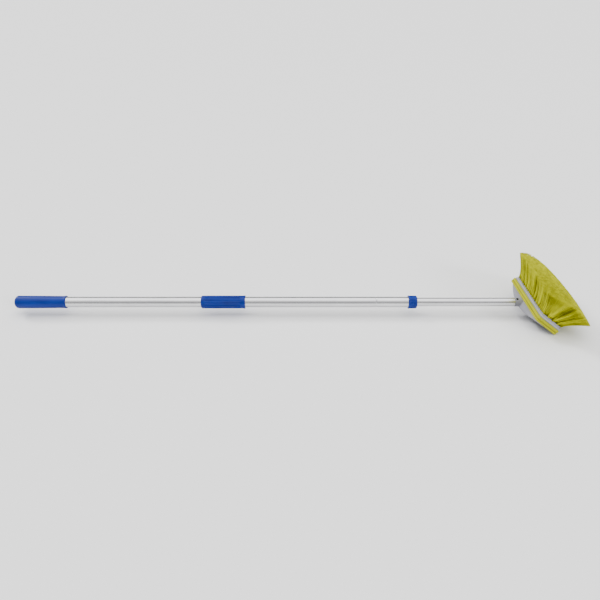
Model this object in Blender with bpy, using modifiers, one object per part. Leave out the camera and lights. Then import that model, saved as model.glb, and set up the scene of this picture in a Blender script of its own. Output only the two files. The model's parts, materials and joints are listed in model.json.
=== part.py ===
"""Telescopic wash brush: a two-section aluminium pole with two grips and a turning lock collar,
and a push-on brush head whose block carries a soft bumper and splayed bristles.

The pole runs along X, from the butt grip towards the head. Its own places are measured along X
from the tip of the butt grip. The head has a frame of its own: local Z points the way the
bristles point, local Y runs along the block and local X across it, away from the pole.
The origin is under the middle of the whole brush, at the height of its lowest point.
"""

import math
import random

import bmesh
import bpy
from mathutils import Matrix, Vector

COLLECTION_NAME = "telescopic_wash_brush"

# Clearances and overruns
GAP = 0.0003
OVERRUN = 0.002
MERGE = 0.00001

# Facets
TUBE_SIDES = 36
INNER_SIDES = 28
SMALL_SIDES = 16
FLUTE_SIDES = 8
STRAND_SIDES = 3
CORNER_STEPS = 4
DOME_STEPS = 7
ROUNDING_STEPS = 3
BEVEL_ANGLE_DEGREES = 40.0

# Outer tube
OUTER_DIAMETER = 0.0254
OUTER_WALL = 0.0010
OUTER_LENGTH = 0.9435
STOP_GROOVE_FROM_FRONT = 0.0850
STOP_GROOVE_WIDTH = 0.0036
STOP_GROOVE_DEPTH = 0.00085
GROOVE_FLOOR_SHARE = 0.34
MARK_GROOVE_FROM_GRIP = 0.0085
MARK_GROOVE_WIDTH = 0.0030
MARK_GROOVE_DEPTH = 0.0003

# Butt grip and the plug inside it
BUTT_GRIP_LENGTH = 0.1240
BUTT_GRIP_DIAMETER = 0.0307
BUTT_GRIP_MOUTH_DIAMETER = 0.0294
BUTT_GRIP_END_WALL = 0.0045
BUTT_GRIP_DOME = 0.0085
BUTT_LIP_LENGTH = 0.0040
BUTT_LIP_HEIGHT = 0.0004
BUTT_PLUG_FLANGE = 0.0015
BUTT_PLUG_LENGTH = 0.0160
BUTT_PLUG_WALL = 0.0020

# Mid grip
MID_GRIP_START = 0.4468
MID_GRIP_LENGTH = 0.1056
MID_GRIP_DIAMETER = 0.0310
MID_GRIP_ROUNDING = 0.0030
MID_LIP_LENGTH = 0.0050
MID_LIP_HEIGHT = 0.0005
FLUTE_COUNT = 16
FLUTE_DIAMETER = 0.0046
FLUTE_DEPTH = 0.0007
FLUTE_START = 0.0080
FLUTE_END = 0.0085
FLUTE_TAPER_SHARE = 0.5

# Lock collar and the split collet under it
COLLAR_LENGTH = 0.0206
COLLAR_DIAMETER = 0.0310
COLLAR_OVERLAP = 0.0080
COLLAR_LIP_LENGTH = 0.0036
COLLAR_LIP_HEIGHT = 0.0004
COLLAR_CHAMFER = 0.0030
COLLAR_NOSE = 0.0024
COLLAR_RECESS_COUNT = 16
COLLAR_RECESS_DIAMETER = 0.0040
COLLAR_RECESS_DEPTH = 0.0007
COLLAR_RECESS_LENGTH = 0.0090
COLLET_TAIL = 0.0160
COLLET_TAPER = 0.0011
COLLET_SLOT_COUNT = 4
COLLET_SLOT_WIDTH = 0.0014
COLLET_SLOT_DEPTH = 0.0062

# Inner tube
INNER_DIAMETER = 0.0206
INNER_WALL = 0.0010
INNER_LENGTH = 0.9190
DRAWN_OUT = 0.2336

# Plug and guide ring on the inner tube's hidden end
REAR_SHANK = 0.0200
REAR_FLANGE = 0.0030
REAR_WAIST_LENGTH = 0.0120
REAR_WAIST_DIAMETER = 0.0160
GUIDE_SLIT = 0.0020

# Tip plug, spring and button at the inner tube's head end
TIP_SHANK = 0.0220
SPIGOT_LENGTH = 0.0290
SPIGOT_DIAMETER = 0.0154
SPIGOT_BORE = 0.0104
SPIGOT_LEAD = 0.0010
BUTTON_DIAMETER = 0.0052
BUTTON_FROM_MOUTH = 0.0056
BUTTON_TURN_DEGREES = 12.0
BUTTON_PROUD = 0.0009
BUTTON_DOME = 0.0008
BUTTON_DOME_SHARES = ((0.5, 0.2), (0.85, 0.6))
BUTTON_FLANGE_DIAMETER = 0.0074
BUTTON_FLANGE_THICKNESS = 0.0012
SPRING_THICKNESS = 0.0004
SPRING_WIDTH = 0.0046
SPRING_REACH = 0.0200
SPRING_BEND_DEGREES = (60.0, 270.0)

# Head: the socket, its angle and the arched hub
HEAD_ANGLE_DEGREES = 52.0
SOCKET_REACH = 0.0300
SOCKET_DIAMETER = 0.0208
SOCKET_BORE_DEPTH = 0.0330
SOCKET_LEAD = 0.0010
HUB_END_INSET = 0.0110
HUB_HEIGHT = 0.0180
HUB_WIDTH = 0.0380
HUB_ROUNDING = 0.0040
HUB_POINTS = 24

# Block, bumper and the backing of the bristles
BUMPER_LENGTH = 0.1820
BUMPER_WIDTH = 0.0700
BUMPER_THICKNESS = 0.0130
BUMPER_WALL = 0.0040
BUMPER_CORNER = 0.0080
BUMPER_ROUNDING = 0.0032
BLOCK_SET = 0.0165
BLOCK_SHIFT = 0.0050
RIM_INSET = 0.0024
RIM_THICKNESS = 0.0084
RIM_ROUNDING = 0.0010
POCKET_MARGIN = 0.0026
BACKING_THICKNESS = 0.0030

# Bristles
BRISTLE_GROUPS = ("far_end", "far", "middle", "near", "near_end")
BRISTLE_COLUMNS = 8
BRISTLE_ROWS = 9
BRISTLE_LENGTH = 0.0610
BRISTLE_ROOT_DIAMETER = 0.0020
BRISTLE_TIP_DIAMETER = 0.0032
BRISTLE_EDGE_MARGIN = 0.0026
BRISTLE_SLICE_MARGIN = 0.0021
BRISTLE_LEAN_POLE_SIDE_SHARE = 0.96
BRISTLE_LEAN_FAR_SIDE_SHARE = 0.48
BRISTLE_LEAN_NEAR_END_SHARE = 0.38
BRISTLE_LEAN_FAR_END_SHARE = 0.34
BRISTLE_BEND_SHARE = 0.85
BRISTLE_MIDDLE_SHARE = 0.45
BRISTLE_UNEVEN_SHARE = 0.03
BRISTLE_SEED = 7

# Places along the pole
GRIP_BORE = OUTER_DIAMETER + 2 * GAP
OUTER_BORE = OUTER_DIAMETER - 2 * OUTER_WALL
INNER_BORE = INNER_DIAMETER - 2 * INNER_WALL
PLUG_START = BUTT_GRIP_END_WALL + GAP
OUTER_START = PLUG_START + BUTT_PLUG_FLANGE + GAP
OUTER_END = OUTER_START + OUTER_LENGTH
STOP_GROOVE_X = OUTER_END - STOP_GROOVE_FROM_FRONT
MID_GRIP_END = MID_GRIP_START + MID_GRIP_LENGTH
MARK_GROOVE_X = MID_GRIP_END + MARK_GROOVE_FROM_GRIP
COLLAR_START = OUTER_END - COLLAR_OVERLAP
COLLAR_END = COLLAR_START + COLLAR_LENGTH
INNER_END = COLLAR_END + DRAWN_OUT
INNER_START = INNER_END - INNER_LENGTH
SOCKET_MOUTH = INNER_END + GAP
HEAD_X = SOCKET_MOUTH + SOCKET_REACH
BUTTON_X = SOCKET_MOUTH + BUTTON_FROM_MOUTH

# Fits inside the tubes and the head
SLIDE_BORE = INNER_DIAMETER + 2 * GAP
SLIDER_DIAMETER = OUTER_BORE - 2 * GAP
SHANK_DIAMETER = INNER_BORE - 2 * GAP
SOCKET_BORE = SPIGOT_DIAMETER + 2 * GAP
BUTTON_HOLE = BUTTON_DIAMETER + 2 * GAP
BLOCK_THICKNESS = BUMPER_THICKNESS + GAP + RIM_THICKNESS
RIM_LENGTH = BUMPER_LENGTH - 2 * RIM_INSET
RIM_WIDTH = BUMPER_WIDTH - 2 * RIM_INSET
CORE_LENGTH = BUMPER_LENGTH - 2 * (BUMPER_WALL + GAP)
CORE_WIDTH = BUMPER_WIDTH - 2 * (BUMPER_WALL + GAP)
CORE_CORNER = BUMPER_CORNER - BUMPER_WALL - GAP
RIM_CORNER = BUMPER_CORNER - RIM_INSET
POCKET_LENGTH = RIM_LENGTH - 2 * POCKET_MARGIN
POCKET_WIDTH = RIM_WIDTH - 2 * POCKET_MARGIN
POCKET_CORNER = RIM_CORNER - POCKET_MARGIN
HUB_LENGTH = BUMPER_LENGTH - 2 * HUB_END_INSET
HUB_RADIUS = (HUB_LENGTH ** 2 / 4 + HUB_HEIGHT ** 2) / (2 * HUB_HEIGHT)
HUB_SET = BLOCK_SET - CORE_WIDTH / 2 + HUB_WIDTH / 2 + GAP
HEAD_TILT = math.radians(90.0 - HEAD_ANGLE_DEGREES)
BUTTON_TURN = math.radians(BUTTON_TURN_DEGREES)


def clear_scene():
    """Remove every object and every collection that an earlier run left."""
    for item in list(bpy.data.objects):
        bpy.data.objects.remove(item, do_unlink=True)
    for group in list(bpy.data.collections):
        bpy.data.collections.remove(group)


def new_collection(name):
    """Link a new collection to the scene."""
    group = bpy.data.collections.new(name)
    bpy.context.scene.collection.children.link(group)
    return group


def make_material(name, colour, roughness, metallic=0.0):
    """A Principled material of one colour."""
    material = bpy.data.materials.new(name)
    material.use_nodes = True
    shader = material.node_tree.nodes["Principled BSDF"]
    shader.inputs["Base Color"].default_value = (*colour, 1.0)
    shader.inputs["Roughness"].default_value = roughness
    shader.inputs["Metallic"].default_value = metallic
    material.diffuse_color = (*colour, 1.0)
    return material


def make_empty(name, parent, location=(0.0, 0.0, 0.0), rotation=(0.0, 0.0, 0.0)):
    """An empty that carries the pieces of one moving or tilted group."""
    empty = bpy.data.objects.new(name, None)
    empty.location = location
    empty.rotation_euler = rotation
    empty.parent = parent
    PARTS.objects.link(empty)
    return empty


def place(name, mesh, parent, material=None, location=(0.0, 0.0, 0.0), rotation=(0.0, 0.0, 0.0)):
    """Link a piece to the parts, or a cutter to the cutters if it has no material."""
    piece = bpy.data.objects.new(name, mesh)
    piece.location = location
    piece.rotation_euler = rotation
    piece.parent = parent
    if material is None:
        piece.hide_render = True
        piece.display_type = "WIRE"
        CUTTERS.objects.link(piece)
    else:
        mesh.materials.append(material)
        PARTS.objects.link(piece)
    return piece


def mesh_of(name, work):
    """Turn a bmesh into a mesh with outward normals."""
    bmesh.ops.recalc_face_normals(work, faces=work.faces)
    mesh = bpy.data.meshes.new(name)
    work.to_mesh(mesh)
    work.free()
    return mesh


def turned(name, parent, outer, inner=(), material=None, sides=TUBE_SIDES):
    """A piece turned about the pole's axis.

    Each point of a profile is a place along the pole and a radius. The outer side runs from the
    head end to the butt end and the inner side back again; a piece without a bore has its outer
    side start and end on the axis.
    """
    points = [*outer, *inner]
    mesh = bpy.data.meshes.new(name)
    edges = [(i, i + 1) for i in range(len(points) - 1)]
    if inner:
        edges.append((len(points) - 1, 0))
    mesh.from_pydata([(radius, 0.0, along) for along, radius in points], edges, [])
    piece = place(name, mesh, parent, material, rotation=(0.0, math.pi / 2, 0.0))
    screw = piece.modifiers.new("turn", "SCREW")
    screw.axis = "Z"
    screw.angle = math.tau
    screw.steps = screw.render_steps = sides
    screw.use_merge_vertices = True
    screw.merge_threshold = MERGE
    screw.use_smooth_shade = True
    return piece


def rod(name, parent, diameter, start, end, material=None, sides=SMALL_SIDES):
    """A plain round bar between two points of its parent's frame."""
    start, end = Vector(start), Vector(end)
    work = bmesh.new()
    bmesh.ops.create_cone(work, cap_ends=True, segments=sides, radius1=diameter / 2, radius2=diameter / 2,
                          depth=(end - start).length)
    turn = Vector((0.0, 0.0, 1.0)).rotation_difference(end - start)
    return place(name, mesh_of(name, work), parent, material, (start + end) / 2, turn.to_euler())


def ring_of_rods(name, parent, count, diameter, circle, start, end, sides=SMALL_SIDES, lead=0.0):
    """Cutter bars that lie along the pole, evenly spaced round it, each with tapered ends."""
    work = bmesh.new()
    taper = Matrix.Identity(4)
    for index in range(count):
        angle = math.tau * (index + 0.5) / count
        taper.translation = Vector(((start + end) / 2, circle * math.cos(angle), circle * math.sin(angle)))
        new = bmesh.ops.create_cone(work, cap_ends=True, segments=sides, radius1=diameter / 2,
                                    radius2=diameter / 2, depth=end - start - 2 * lead,
                                    matrix=taper @ Matrix.Rotation(math.pi / 2, 4, "Y"))
        if lead:
            caps = [f for f in {f for v in new["verts"] for f in v.link_faces} if len(f.verts) == sides]
            for cap in caps:
                outward = cap.normal.copy()
                grown = bmesh.ops.extrude_discrete_faces(work, faces=[cap])["faces"][0]
                middle = grown.calc_center_median()
                for vert in grown.verts:
                    vert.co = middle + (vert.co - middle) * FLUTE_TAPER_SHARE + outward * lead
    return place(name, mesh_of(name, work), parent)


def rounded_plate(name, parent, length, width, corner, low, high, material=None, middle=0.0):
    """An upright plate in the head's frame with rounded corners, from one height to another."""
    work = bmesh.new()
    bmesh.ops.create_cube(work, size=1.0)
    bmesh.ops.scale(work, vec=(width, length, high - low), verts=work.verts)
    upright = [edge for edge in work.edges if abs(edge.verts[0].co.z - edge.verts[1].co.z) > (high - low) / 2]
    bmesh.ops.bevel(work, geom=upright, offset=corner, segments=CORNER_STEPS, profile=0.5, affect="EDGES")
    return place(name, mesh_of(name, work), parent, material, (middle, 0.0, (low + high) / 2))


def add_boolean(piece, other, operation):
    """Cut, join or intersect a piece with another."""
    step = piece.modifiers.new(operation.lower(), "BOOLEAN")
    step.operation = operation
    step.solver = "EXACT"
    step.object = other


def add_bevel(piece, width, steps=2):
    """Round the sharp edges of a piece."""
    bevel = piece.modifiers.new("rounding", "BEVEL")
    bevel.width = width
    bevel.segments = steps
    bevel.limit_method = "ANGLE"
    bevel.angle_limit = math.radians(BEVEL_ANGLE_DEGREES)


def curve_to_mesh(curve_object):
    """Replace a curve object by a mesh whose caps are welded to its sides."""
    bpy.context.view_layer.update()
    graph = bpy.context.evaluated_depsgraph_get()
    mesh = bpy.data.meshes.new_from_object(curve_object.evaluated_get(graph))
    work = bmesh.new()
    work.from_mesh(mesh)
    bmesh.ops.remove_doubles(work, verts=work.verts, dist=MERGE)
    bmesh.ops.recalc_face_normals(work, faces=work.faces)
    work.to_mesh(mesh)
    work.free()
    bpy.data.objects.remove(curve_object, do_unlink=True)
    return mesh


def arc(middle, radius, first, last, steps, flatten=1.0):
    """Points of a profile arc, angles in degrees from the way to the head."""
    points = []
    for index in range(steps + 1):
        angle = math.radians(first + (last - first) * index / steps)
        points.append((middle[0] + radius * flatten * math.cos(angle), middle[1] + radius * math.sin(angle)))
    return points


def build_outer_tube(root):
    """The wide tube: a rolled stop groove near its front, and a shallow mark beside the mid grip."""
    radius, bore = OUTER_DIAMETER / 2, OUTER_BORE / 2
    outer = [(OUTER_END, radius)]
    for middle, width, depth in ((STOP_GROOVE_X, STOP_GROOVE_WIDTH, STOP_GROOVE_DEPTH),
                                 (MARK_GROOVE_X, MARK_GROOVE_WIDTH, MARK_GROOVE_DEPTH)):
        floor = width * GROOVE_FLOOR_SHARE / 2
        outer += [(middle + width / 2, radius), (middle + floor, radius - depth),
                  (middle - floor, radius - depth), (middle - width / 2, radius)]
    outer.append((OUTER_START, radius))
    inner = [(OUTER_START, bore)]
    for share, depth in ((-1.0, 0.0), (-GROOVE_FLOOR_SHARE, STOP_GROOVE_DEPTH),
                         (GROOVE_FLOOR_SHARE, STOP_GROOVE_DEPTH), (1.0, 0.0)):
        inner.append((STOP_GROOVE_X + share * STOP_GROOVE_WIDTH / 2, bore - depth))
    inner.append((OUTER_END, bore))
    turned("outer_tube", root, outer, inner, ALUMINIUM)


def build_butt_grip(root):
    """The closed sleeve on the end of the pole, domed outside and with a lip at its mouth."""
    wide, narrow = BUTT_GRIP_DIAMETER / 2, BUTT_GRIP_MOUTH_DIAMETER / 2
    lip = narrow + BUTT_LIP_HEIGHT
    dome = arc((BUTT_GRIP_DOME, 0.0), wide, 90.0, 180.0, DOME_STEPS, BUTT_GRIP_DOME / wide)
    bore = [(BUTT_GRIP_END_WALL, 0.0), (BUTT_GRIP_END_WALL, GRIP_BORE / 2), (BUTT_GRIP_LENGTH, GRIP_BORE / 2)]
    outer = [(BUTT_GRIP_LENGTH, lip), (BUTT_GRIP_LENGTH - BUTT_LIP_LENGTH / 2, lip),
             (BUTT_GRIP_LENGTH - BUTT_LIP_LENGTH, narrow), *dome[:-1], (0.0, 0.0)]
    turned("butt_grip", root, [*bore, *outer], (), BLUE)


def build_butt_plug(root):
    """The cup that closes the tube under the butt grip, its flange on the tube's end."""
    shank_end = PLUG_START + BUTT_PLUG_FLANGE + BUTT_PLUG_LENGTH
    radius, bore = SLIDER_DIAMETER / 2, SLIDER_DIAMETER / 2 - BUTT_PLUG_WALL
    flange_face = PLUG_START + BUTT_PLUG_FLANGE
    outer = [(flange_face + BUTT_PLUG_WALL, 0.0), (flange_face + BUTT_PLUG_WALL, bore), (shank_end, bore),
             (shank_end, radius), (flange_face, radius), (flange_face, OUTER_DIAMETER / 2),
             (PLUG_START, OUTER_DIAMETER / 2), (PLUG_START, 0.0)]
    turned("butt_plug", root, outer, (), DARK_PLASTIC, INNER_SIDES)


def build_mid_grip(root):
    """The fluted sleeve half way along the pole, rounded at the butt end and lipped at the other."""
    radius, bore = MID_GRIP_DIAMETER / 2, GRIP_BORE / 2
    lip = radius + MID_LIP_HEIGHT
    rounding = arc((MID_GRIP_START + MID_GRIP_ROUNDING, radius - MID_GRIP_ROUNDING), MID_GRIP_ROUNDING,
                   90.0, 180.0, ROUNDING_STEPS)
    outer = [(MID_GRIP_END, lip), (MID_GRIP_END - MID_LIP_LENGTH / 2, lip),
             (MID_GRIP_END - MID_LIP_LENGTH, radius), *rounding]
    grip = turned("mid_grip", root, outer, [(MID_GRIP_START, bore), (MID_GRIP_END, bore)], BLUE)
    flutes = ring_of_rods("mid_grip_flutes", root, FLUTE_COUNT, FLUTE_DIAMETER,
                          radius + FLUTE_DIAMETER / 2 - FLUTE_DEPTH, MID_GRIP_START + FLUTE_START,
                          MID_GRIP_END - FLUTE_END, sides=FLUTE_SIDES, lead=FLUTE_DIAMETER / 2)
    add_boolean(grip, flutes, "DIFFERENCE")


def build_collar(axis):
    """The lock collar: it turns on the collet and clamps it on the inner tube."""
    radius, cavity, nose = COLLAR_DIAMETER / 2, GRIP_BORE / 2, SLIDE_BORE / 2
    lip = radius + COLLAR_LIP_HEIGHT
    outer = [(COLLAR_END, radius - COLLAR_CHAMFER), (COLLAR_END - COLLAR_CHAMFER, radius),
             (COLLAR_START + COLLAR_LIP_LENGTH, radius), (COLLAR_START + COLLAR_LIP_LENGTH / 2, lip),
             (COLLAR_START, lip)]
    inner = [(COLLAR_START, cavity), (COLLAR_END - COLLAR_NOSE - COLLET_TAPER, cavity),
             (COLLAR_END - COLLAR_NOSE, cavity - COLLET_TAPER), (COLLAR_END - COLLAR_NOSE, nose),
             (COLLAR_END, nose)]
    collar = turned("lock_collar", axis, outer, inner, BLUE)
    band_start = COLLAR_START + COLLAR_LIP_LENGTH + GAP
    recesses = ring_of_rods("lock_collar_recesses", axis, COLLAR_RECESS_COUNT, COLLAR_RECESS_DIAMETER,
                            radius + COLLAR_RECESS_DIAMETER / 2 - COLLAR_RECESS_DEPTH, band_start,
                            band_start + COLLAR_RECESS_LENGTH, sides=FLUTE_SIDES)
    add_boolean(collar, recesses, "DIFFERENCE")


def build_collet(root):
    """The split bush: its tail sits in the outer tube and its fingers stand in the collar."""
    bore, tail, flange = SLIDE_BORE / 2, SLIDER_DIAMETER / 2, OUTER_DIAMETER / 2
    seat = OUTER_END + GAP
    end = COLLAR_END - COLLAR_NOSE - GAP
    outer = [(end, flange - COLLET_TAPER), (end - COLLET_TAPER, flange), (seat, flange), (seat, tail),
             (seat - COLLET_TAIL, tail)]
    collet = turned("split_collet", root, outer, [(seat - COLLET_TAIL, bore), (end, bore)], DARK_PLASTIC)
    work = bmesh.new()
    for index in range(COLLET_SLOT_COUNT):
        turn = Matrix.Rotation(math.tau * index / COLLET_SLOT_COUNT, 4, "X")
        spot = Matrix.Translation((end - COLLET_SLOT_DEPTH / 2 + OVERRUN / 2, 0.0, (bore + flange) / 2))
        size = Matrix.Diagonal((COLLET_SLOT_DEPTH + OVERRUN, COLLET_SLOT_WIDTH, flange - bore + OVERRUN, 1.0))
        bmesh.ops.create_cube(work, size=1.0, matrix=turn @ spot @ size)
    add_boolean(collet, place("split_collet_slots", mesh_of("split_collet_slots", work), root), "DIFFERENCE")


def build_inner_tube(slide):
    """The narrow tube, drawn part way out of the wide one."""
    radius, bore = INNER_DIAMETER / 2, INNER_BORE / 2
    turned("inner_tube", slide, [(INNER_END, radius), (INNER_START, radius)],
           [(INNER_START, bore), (INNER_END, bore)], ALUMINIUM)


def build_rear_plug(slide):
    """The plug in the inner tube's hidden end, with a waist for the guide ring."""
    shank, flange, waist = SHANK_DIAMETER / 2, INNER_DIAMETER / 2, REAR_WAIST_DIAMETER / 2
    seat = INNER_START - GAP
    front, back = seat - REAR_FLANGE, seat - REAR_FLANGE - REAR_WAIST_LENGTH
    outer = [(seat + REAR_SHANK, 0.0), (seat + REAR_SHANK, shank), (seat, shank), (seat, flange),
             (front, flange), (front, waist), (back, waist), (back, flange), (back - REAR_FLANGE, flange),
             (back - REAR_FLANGE, 0.0)]
    turned("rear_plug", slide, outer, (), DARK_PLASTIC, INNER_SIDES)


def build_guide_ring(slide):
    """The split ring that keeps the inner tube central and meets the rolled stop groove."""
    front = INNER_START - REAR_FLANGE - 2 * GAP
    back = front - REAR_WAIST_LENGTH + 2 * GAP
    radius, bore = SLIDER_DIAMETER / 2, REAR_WAIST_DIAMETER / 2 + GAP
    ring = turned("guide_ring", slide, [(front, radius), (back, radius)], [(back, bore), (front, bore)],
                  NYLON, INNER_SIDES)
    work = bmesh.new()
    bmesh.ops.create_cube(work, size=1.0)
    bmesh.ops.scale(work, vec=(front - back + OVERRUN, GUIDE_SLIT, radius - bore + OVERRUN), verts=work.verts)
    slit = place("guide_ring_slit", mesh_of("guide_ring_slit", work), slide, None,
                 ((front + back) / 2, 0.0, -(radius + bore) / 2))
    add_boolean(ring, slit, "DIFFERENCE")


def build_tip_plug(slide):
    """The hollow plug in the head end of the inner tube; its spigot enters the head's socket."""
    shank, spigot, bore = SHANK_DIAMETER / 2, SPIGOT_DIAMETER / 2, SPIGOT_BORE / 2
    end = INNER_END + SPIGOT_LENGTH
    outer = [(end, spigot - SPIGOT_LEAD), (end - SPIGOT_LEAD, spigot), (INNER_END, spigot),
             (INNER_END, shank), (INNER_END - TIP_SHANK, shank)]
    plug = turned("tip_plug", slide, outer, [(INNER_END - TIP_SHANK, bore), (end, bore)], GREY,
                  INNER_SIDES)
    hole = rod("tip_plug_button_hole", BUTTON_AXIS, BUTTON_HOLE, (0.0, 0.0, 0.0), (0.0, 0.0, shank + OVERRUN))
    add_boolean(plug, hole, "DIFFERENCE")


def button_heights():
    """Heights over the pole's axis of the button's foot, flange top and crown."""
    half_chord = BUTTON_FLANGE_DIAMETER / 2
    flange_top = math.sqrt((SPIGOT_BORE / 2) ** 2 - half_chord ** 2) - GAP
    return flange_top - BUTTON_FLANGE_THICKNESS, flange_top, SOCKET_DIAMETER / 2 + BUTTON_PROUD


def build_button(axis):
    """The round button, held in by its flange; its own axis stands square to the pole."""
    foot, flange_top, crown = button_heights()
    stem, flange = BUTTON_DIAMETER / 2, BUTTON_FLANGE_DIAMETER / 2
    mesh = bpy.data.meshes.new("snap_button")
    dome = [(stem * out, crown - BUTTON_DOME * down) for out, down in BUTTON_DOME_SHARES]
    points = [(0.0, crown), *dome, (stem, crown - BUTTON_DOME), (stem, flange_top), (flange, flange_top),
              (flange, foot), (0.0, foot)]
    mesh.from_pydata([(radius, 0.0, height) for radius, height in points],
                     [(i, i + 1) for i in range(len(points) - 1)], [])
    button = place("snap_button", mesh, axis, BLACK)
    screw = button.modifiers.new("turn", "SCREW")
    screw.steps = screw.render_steps = SMALL_SIDES
    screw.use_merge_vertices = True
    screw.merge_threshold = MERGE
    screw.use_smooth_shade = True


def build_button_spring(axis):
    """The leaf spring, bent double: one leg lies on the spigot's floor and the other lifts the button."""
    foot, _, _ = button_heights()
    upper = foot - GAP - SPRING_THICKNESS / 2
    lower = -math.sqrt((SPIGOT_BORE / 2) ** 2 - (SPRING_WIDTH / 2) ** 2) + GAP + SPRING_THICKNESS / 2
    radius = (upper - lower) / 4
    reach = BUTTON_DIAMETER / 2
    bend = arc((-SPRING_REACH, lower + radius), radius, *SPRING_BEND_DEGREES, DOME_STEPS)
    path = [(reach, upper), (-reach, upper), *bend, (reach, lower)]
    work = bmesh.new()
    low_side = [work.verts.new((along, -SPRING_WIDTH / 2, height)) for along, height in path]
    edges = [work.edges.new(pair) for pair in zip(low_side, low_side[1:])]
    swept = bmesh.ops.extrude_edge_only(work, edges=edges)["geom"]
    bmesh.ops.translate(work, vec=(0.0, SPRING_WIDTH, 0.0),
                        verts=[item for item in swept if isinstance(item, bmesh.types.BMVert)])
    spring = place("button_spring", mesh_of("button_spring", work), axis, STEEL)
    wall = spring.modifiers.new("thickness", "SOLIDIFY")
    wall.thickness = SPRING_THICKNESS
    wall.offset = 0.0
    wall.use_even_offset = True


def build_hub(head):
    """The arched hub along the back of the block, to be joined to it."""
    outline = bpy.data.curves.new("hub", "CURVE")
    outline.dimensions = "2D"
    outline.fill_mode = "BOTH"
    outline.extrude = HUB_WIDTH / 2
    spline = outline.splines.new("POLY")
    half = HUB_LENGTH / 2
    points = [(half, -OVERRUN)]
    reach = math.asin(half / HUB_RADIUS)
    for index in range(HUB_POINTS + 1):
        angle = reach * (1.0 - 2.0 * index / HUB_POINTS)
        points.append((HUB_RADIUS * math.sin(angle), HUB_HEIGHT - HUB_RADIUS * (1.0 - math.cos(angle))))
    points.append((-half, -OVERRUN))
    spline.points.add(len(points) - 1)
    for point, (along, up) in zip(spline.points, points):
        point.co = (along, up, 0.0, 1.0)
    spline.use_cyclic_u = True
    shape = bpy.data.objects.new("hub", outline)
    CUTTERS.objects.link(shape)
    axes = Matrix(((0.0, 0.0, -1.0), (1.0, 0.0, 0.0), (0.0, -1.0, 0.0)))
    hub = place("hub", curve_to_mesh(shape), head, None, (HUB_SET, 0.0, 0.0), axes.to_euler())
    add_bevel(hub, HUB_ROUNDING)
    return hub


def build_block(root, head):
    """The grey moulding: a stepped block, the arched hub on its back and the slanted socket."""
    block = rounded_plate("brush_block", head, CORE_LENGTH, CORE_WIDTH, CORE_CORNER, 0.0, BLOCK_THICKNESS,
                          GREY, BLOCK_SET)
    rim = rounded_plate("block_rim", head, RIM_LENGTH, RIM_WIDTH, RIM_CORNER, BUMPER_THICKNESS + GAP,
                        BLOCK_THICKNESS + GAP / 2, None, BLOCK_SET)
    add_bevel(rim, RIM_ROUNDING)
    add_boolean(block, rim, "UNION")
    add_boolean(block, build_hub(head), "UNION")
    radius = SOCKET_DIAMETER / 2
    socket = turned("block_socket", root, [(HEAD_X, 0.0), (HEAD_X, radius), (SOCKET_MOUTH, radius),
                                           (SOCKET_MOUTH, 0.0)])
    add_boolean(block, socket, "UNION")
    room = rounded_plate("bumper_room", head, BUMPER_LENGTH + SOCKET_DIAMETER, BUMPER_WIDTH + SOCKET_DIAMETER,
                         BUMPER_CORNER, -GAP, BUMPER_THICKNESS + GAP / 2, None, BLOCK_SET)
    core = rounded_plate("bumper_room_core", head, CORE_LENGTH, CORE_WIDTH, CORE_CORNER, -GAP - OVERRUN,
                         BLOCK_THICKNESS, None, BLOCK_SET)
    add_boolean(room, core, "DIFFERENCE")
    add_boolean(block, room, "DIFFERENCE")
    bore, end = SOCKET_BORE / 2, SOCKET_MOUTH + SOCKET_BORE_DEPTH
    cut = turned("block_bore", root, [(end, 0.0), (end, bore), (SOCKET_MOUTH + SOCKET_LEAD, bore),
                                      (SOCKET_MOUTH - OVERRUN, bore + SOCKET_LEAD + OVERRUN),
                                      (SOCKET_MOUTH - OVERRUN, 0.0)])
    add_boolean(block, cut, "DIFFERENCE")
    hole = rod("block_button_hole", BUTTON_AXIS, BUTTON_HOLE, (0.0, 0.0, 0.0), (0.0, 0.0, radius + OVERRUN))
    add_boolean(block, hole, "DIFFERENCE")
    pocket = rounded_plate("block_pocket", head, POCKET_LENGTH, POCKET_WIDTH, POCKET_CORNER,
                           BLOCK_THICKNESS - BACKING_THICKNESS - GAP, BLOCK_THICKNESS + OVERRUN, None,
                           BLOCK_SET)
    add_boolean(block, pocket, "DIFFERENCE")


def build_bumper(head):
    """The soft band round the block's back edge."""
    bumper = rounded_plate("bumper", head, BUMPER_LENGTH, BUMPER_WIDTH, BUMPER_CORNER, 0.0,
                           BUMPER_THICKNESS, YELLOW_RUBBER, BLOCK_SET)
    add_bevel(bumper, BUMPER_ROUNDING, ROUNDING_STEPS)
    hollow = rounded_plate("bumper_hollow", head, CORE_LENGTH + 2 * GAP, CORE_WIDTH + 2 * GAP,
                           CORE_CORNER + GAP, -OVERRUN, BUMPER_THICKNESS + OVERRUN, None, BLOCK_SET)
    add_boolean(bumper, hollow, "DIFFERENCE")


def strand_points(across_share, along_share, across, along, length):
    """Root, bend and tip of one bristle; the shares run from -1 to 1 over the bristle field."""
    lean = BRISTLE_LEAN_POLE_SIDE_SHARE if across_share < 0.0 else BRISTLE_LEAN_FAR_SIDE_SHARE
    root = Vector((across, along, BLOCK_THICKNESS))
    end_lean = BRISTLE_LEAN_NEAR_END_SHARE if along_share < 0.0 else BRISTLE_LEAN_FAR_END_SHARE
    way = Vector((lean * across_share, end_lean * along_share, 1.0)).normalized()
    upright = Vector((0.0, 0.0, 1.0))
    early = upright.lerp(way, BRISTLE_BEND_SHARE).normalized()
    bend = root + early * length * BRISTLE_MIDDLE_SHARE
    tip = bend + (root + way * length - bend).normalized() * length * (1.0 - BRISTLE_MIDDLE_SHARE)
    return root - early * BACKING_THICKNESS / 2, bend, tip


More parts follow.
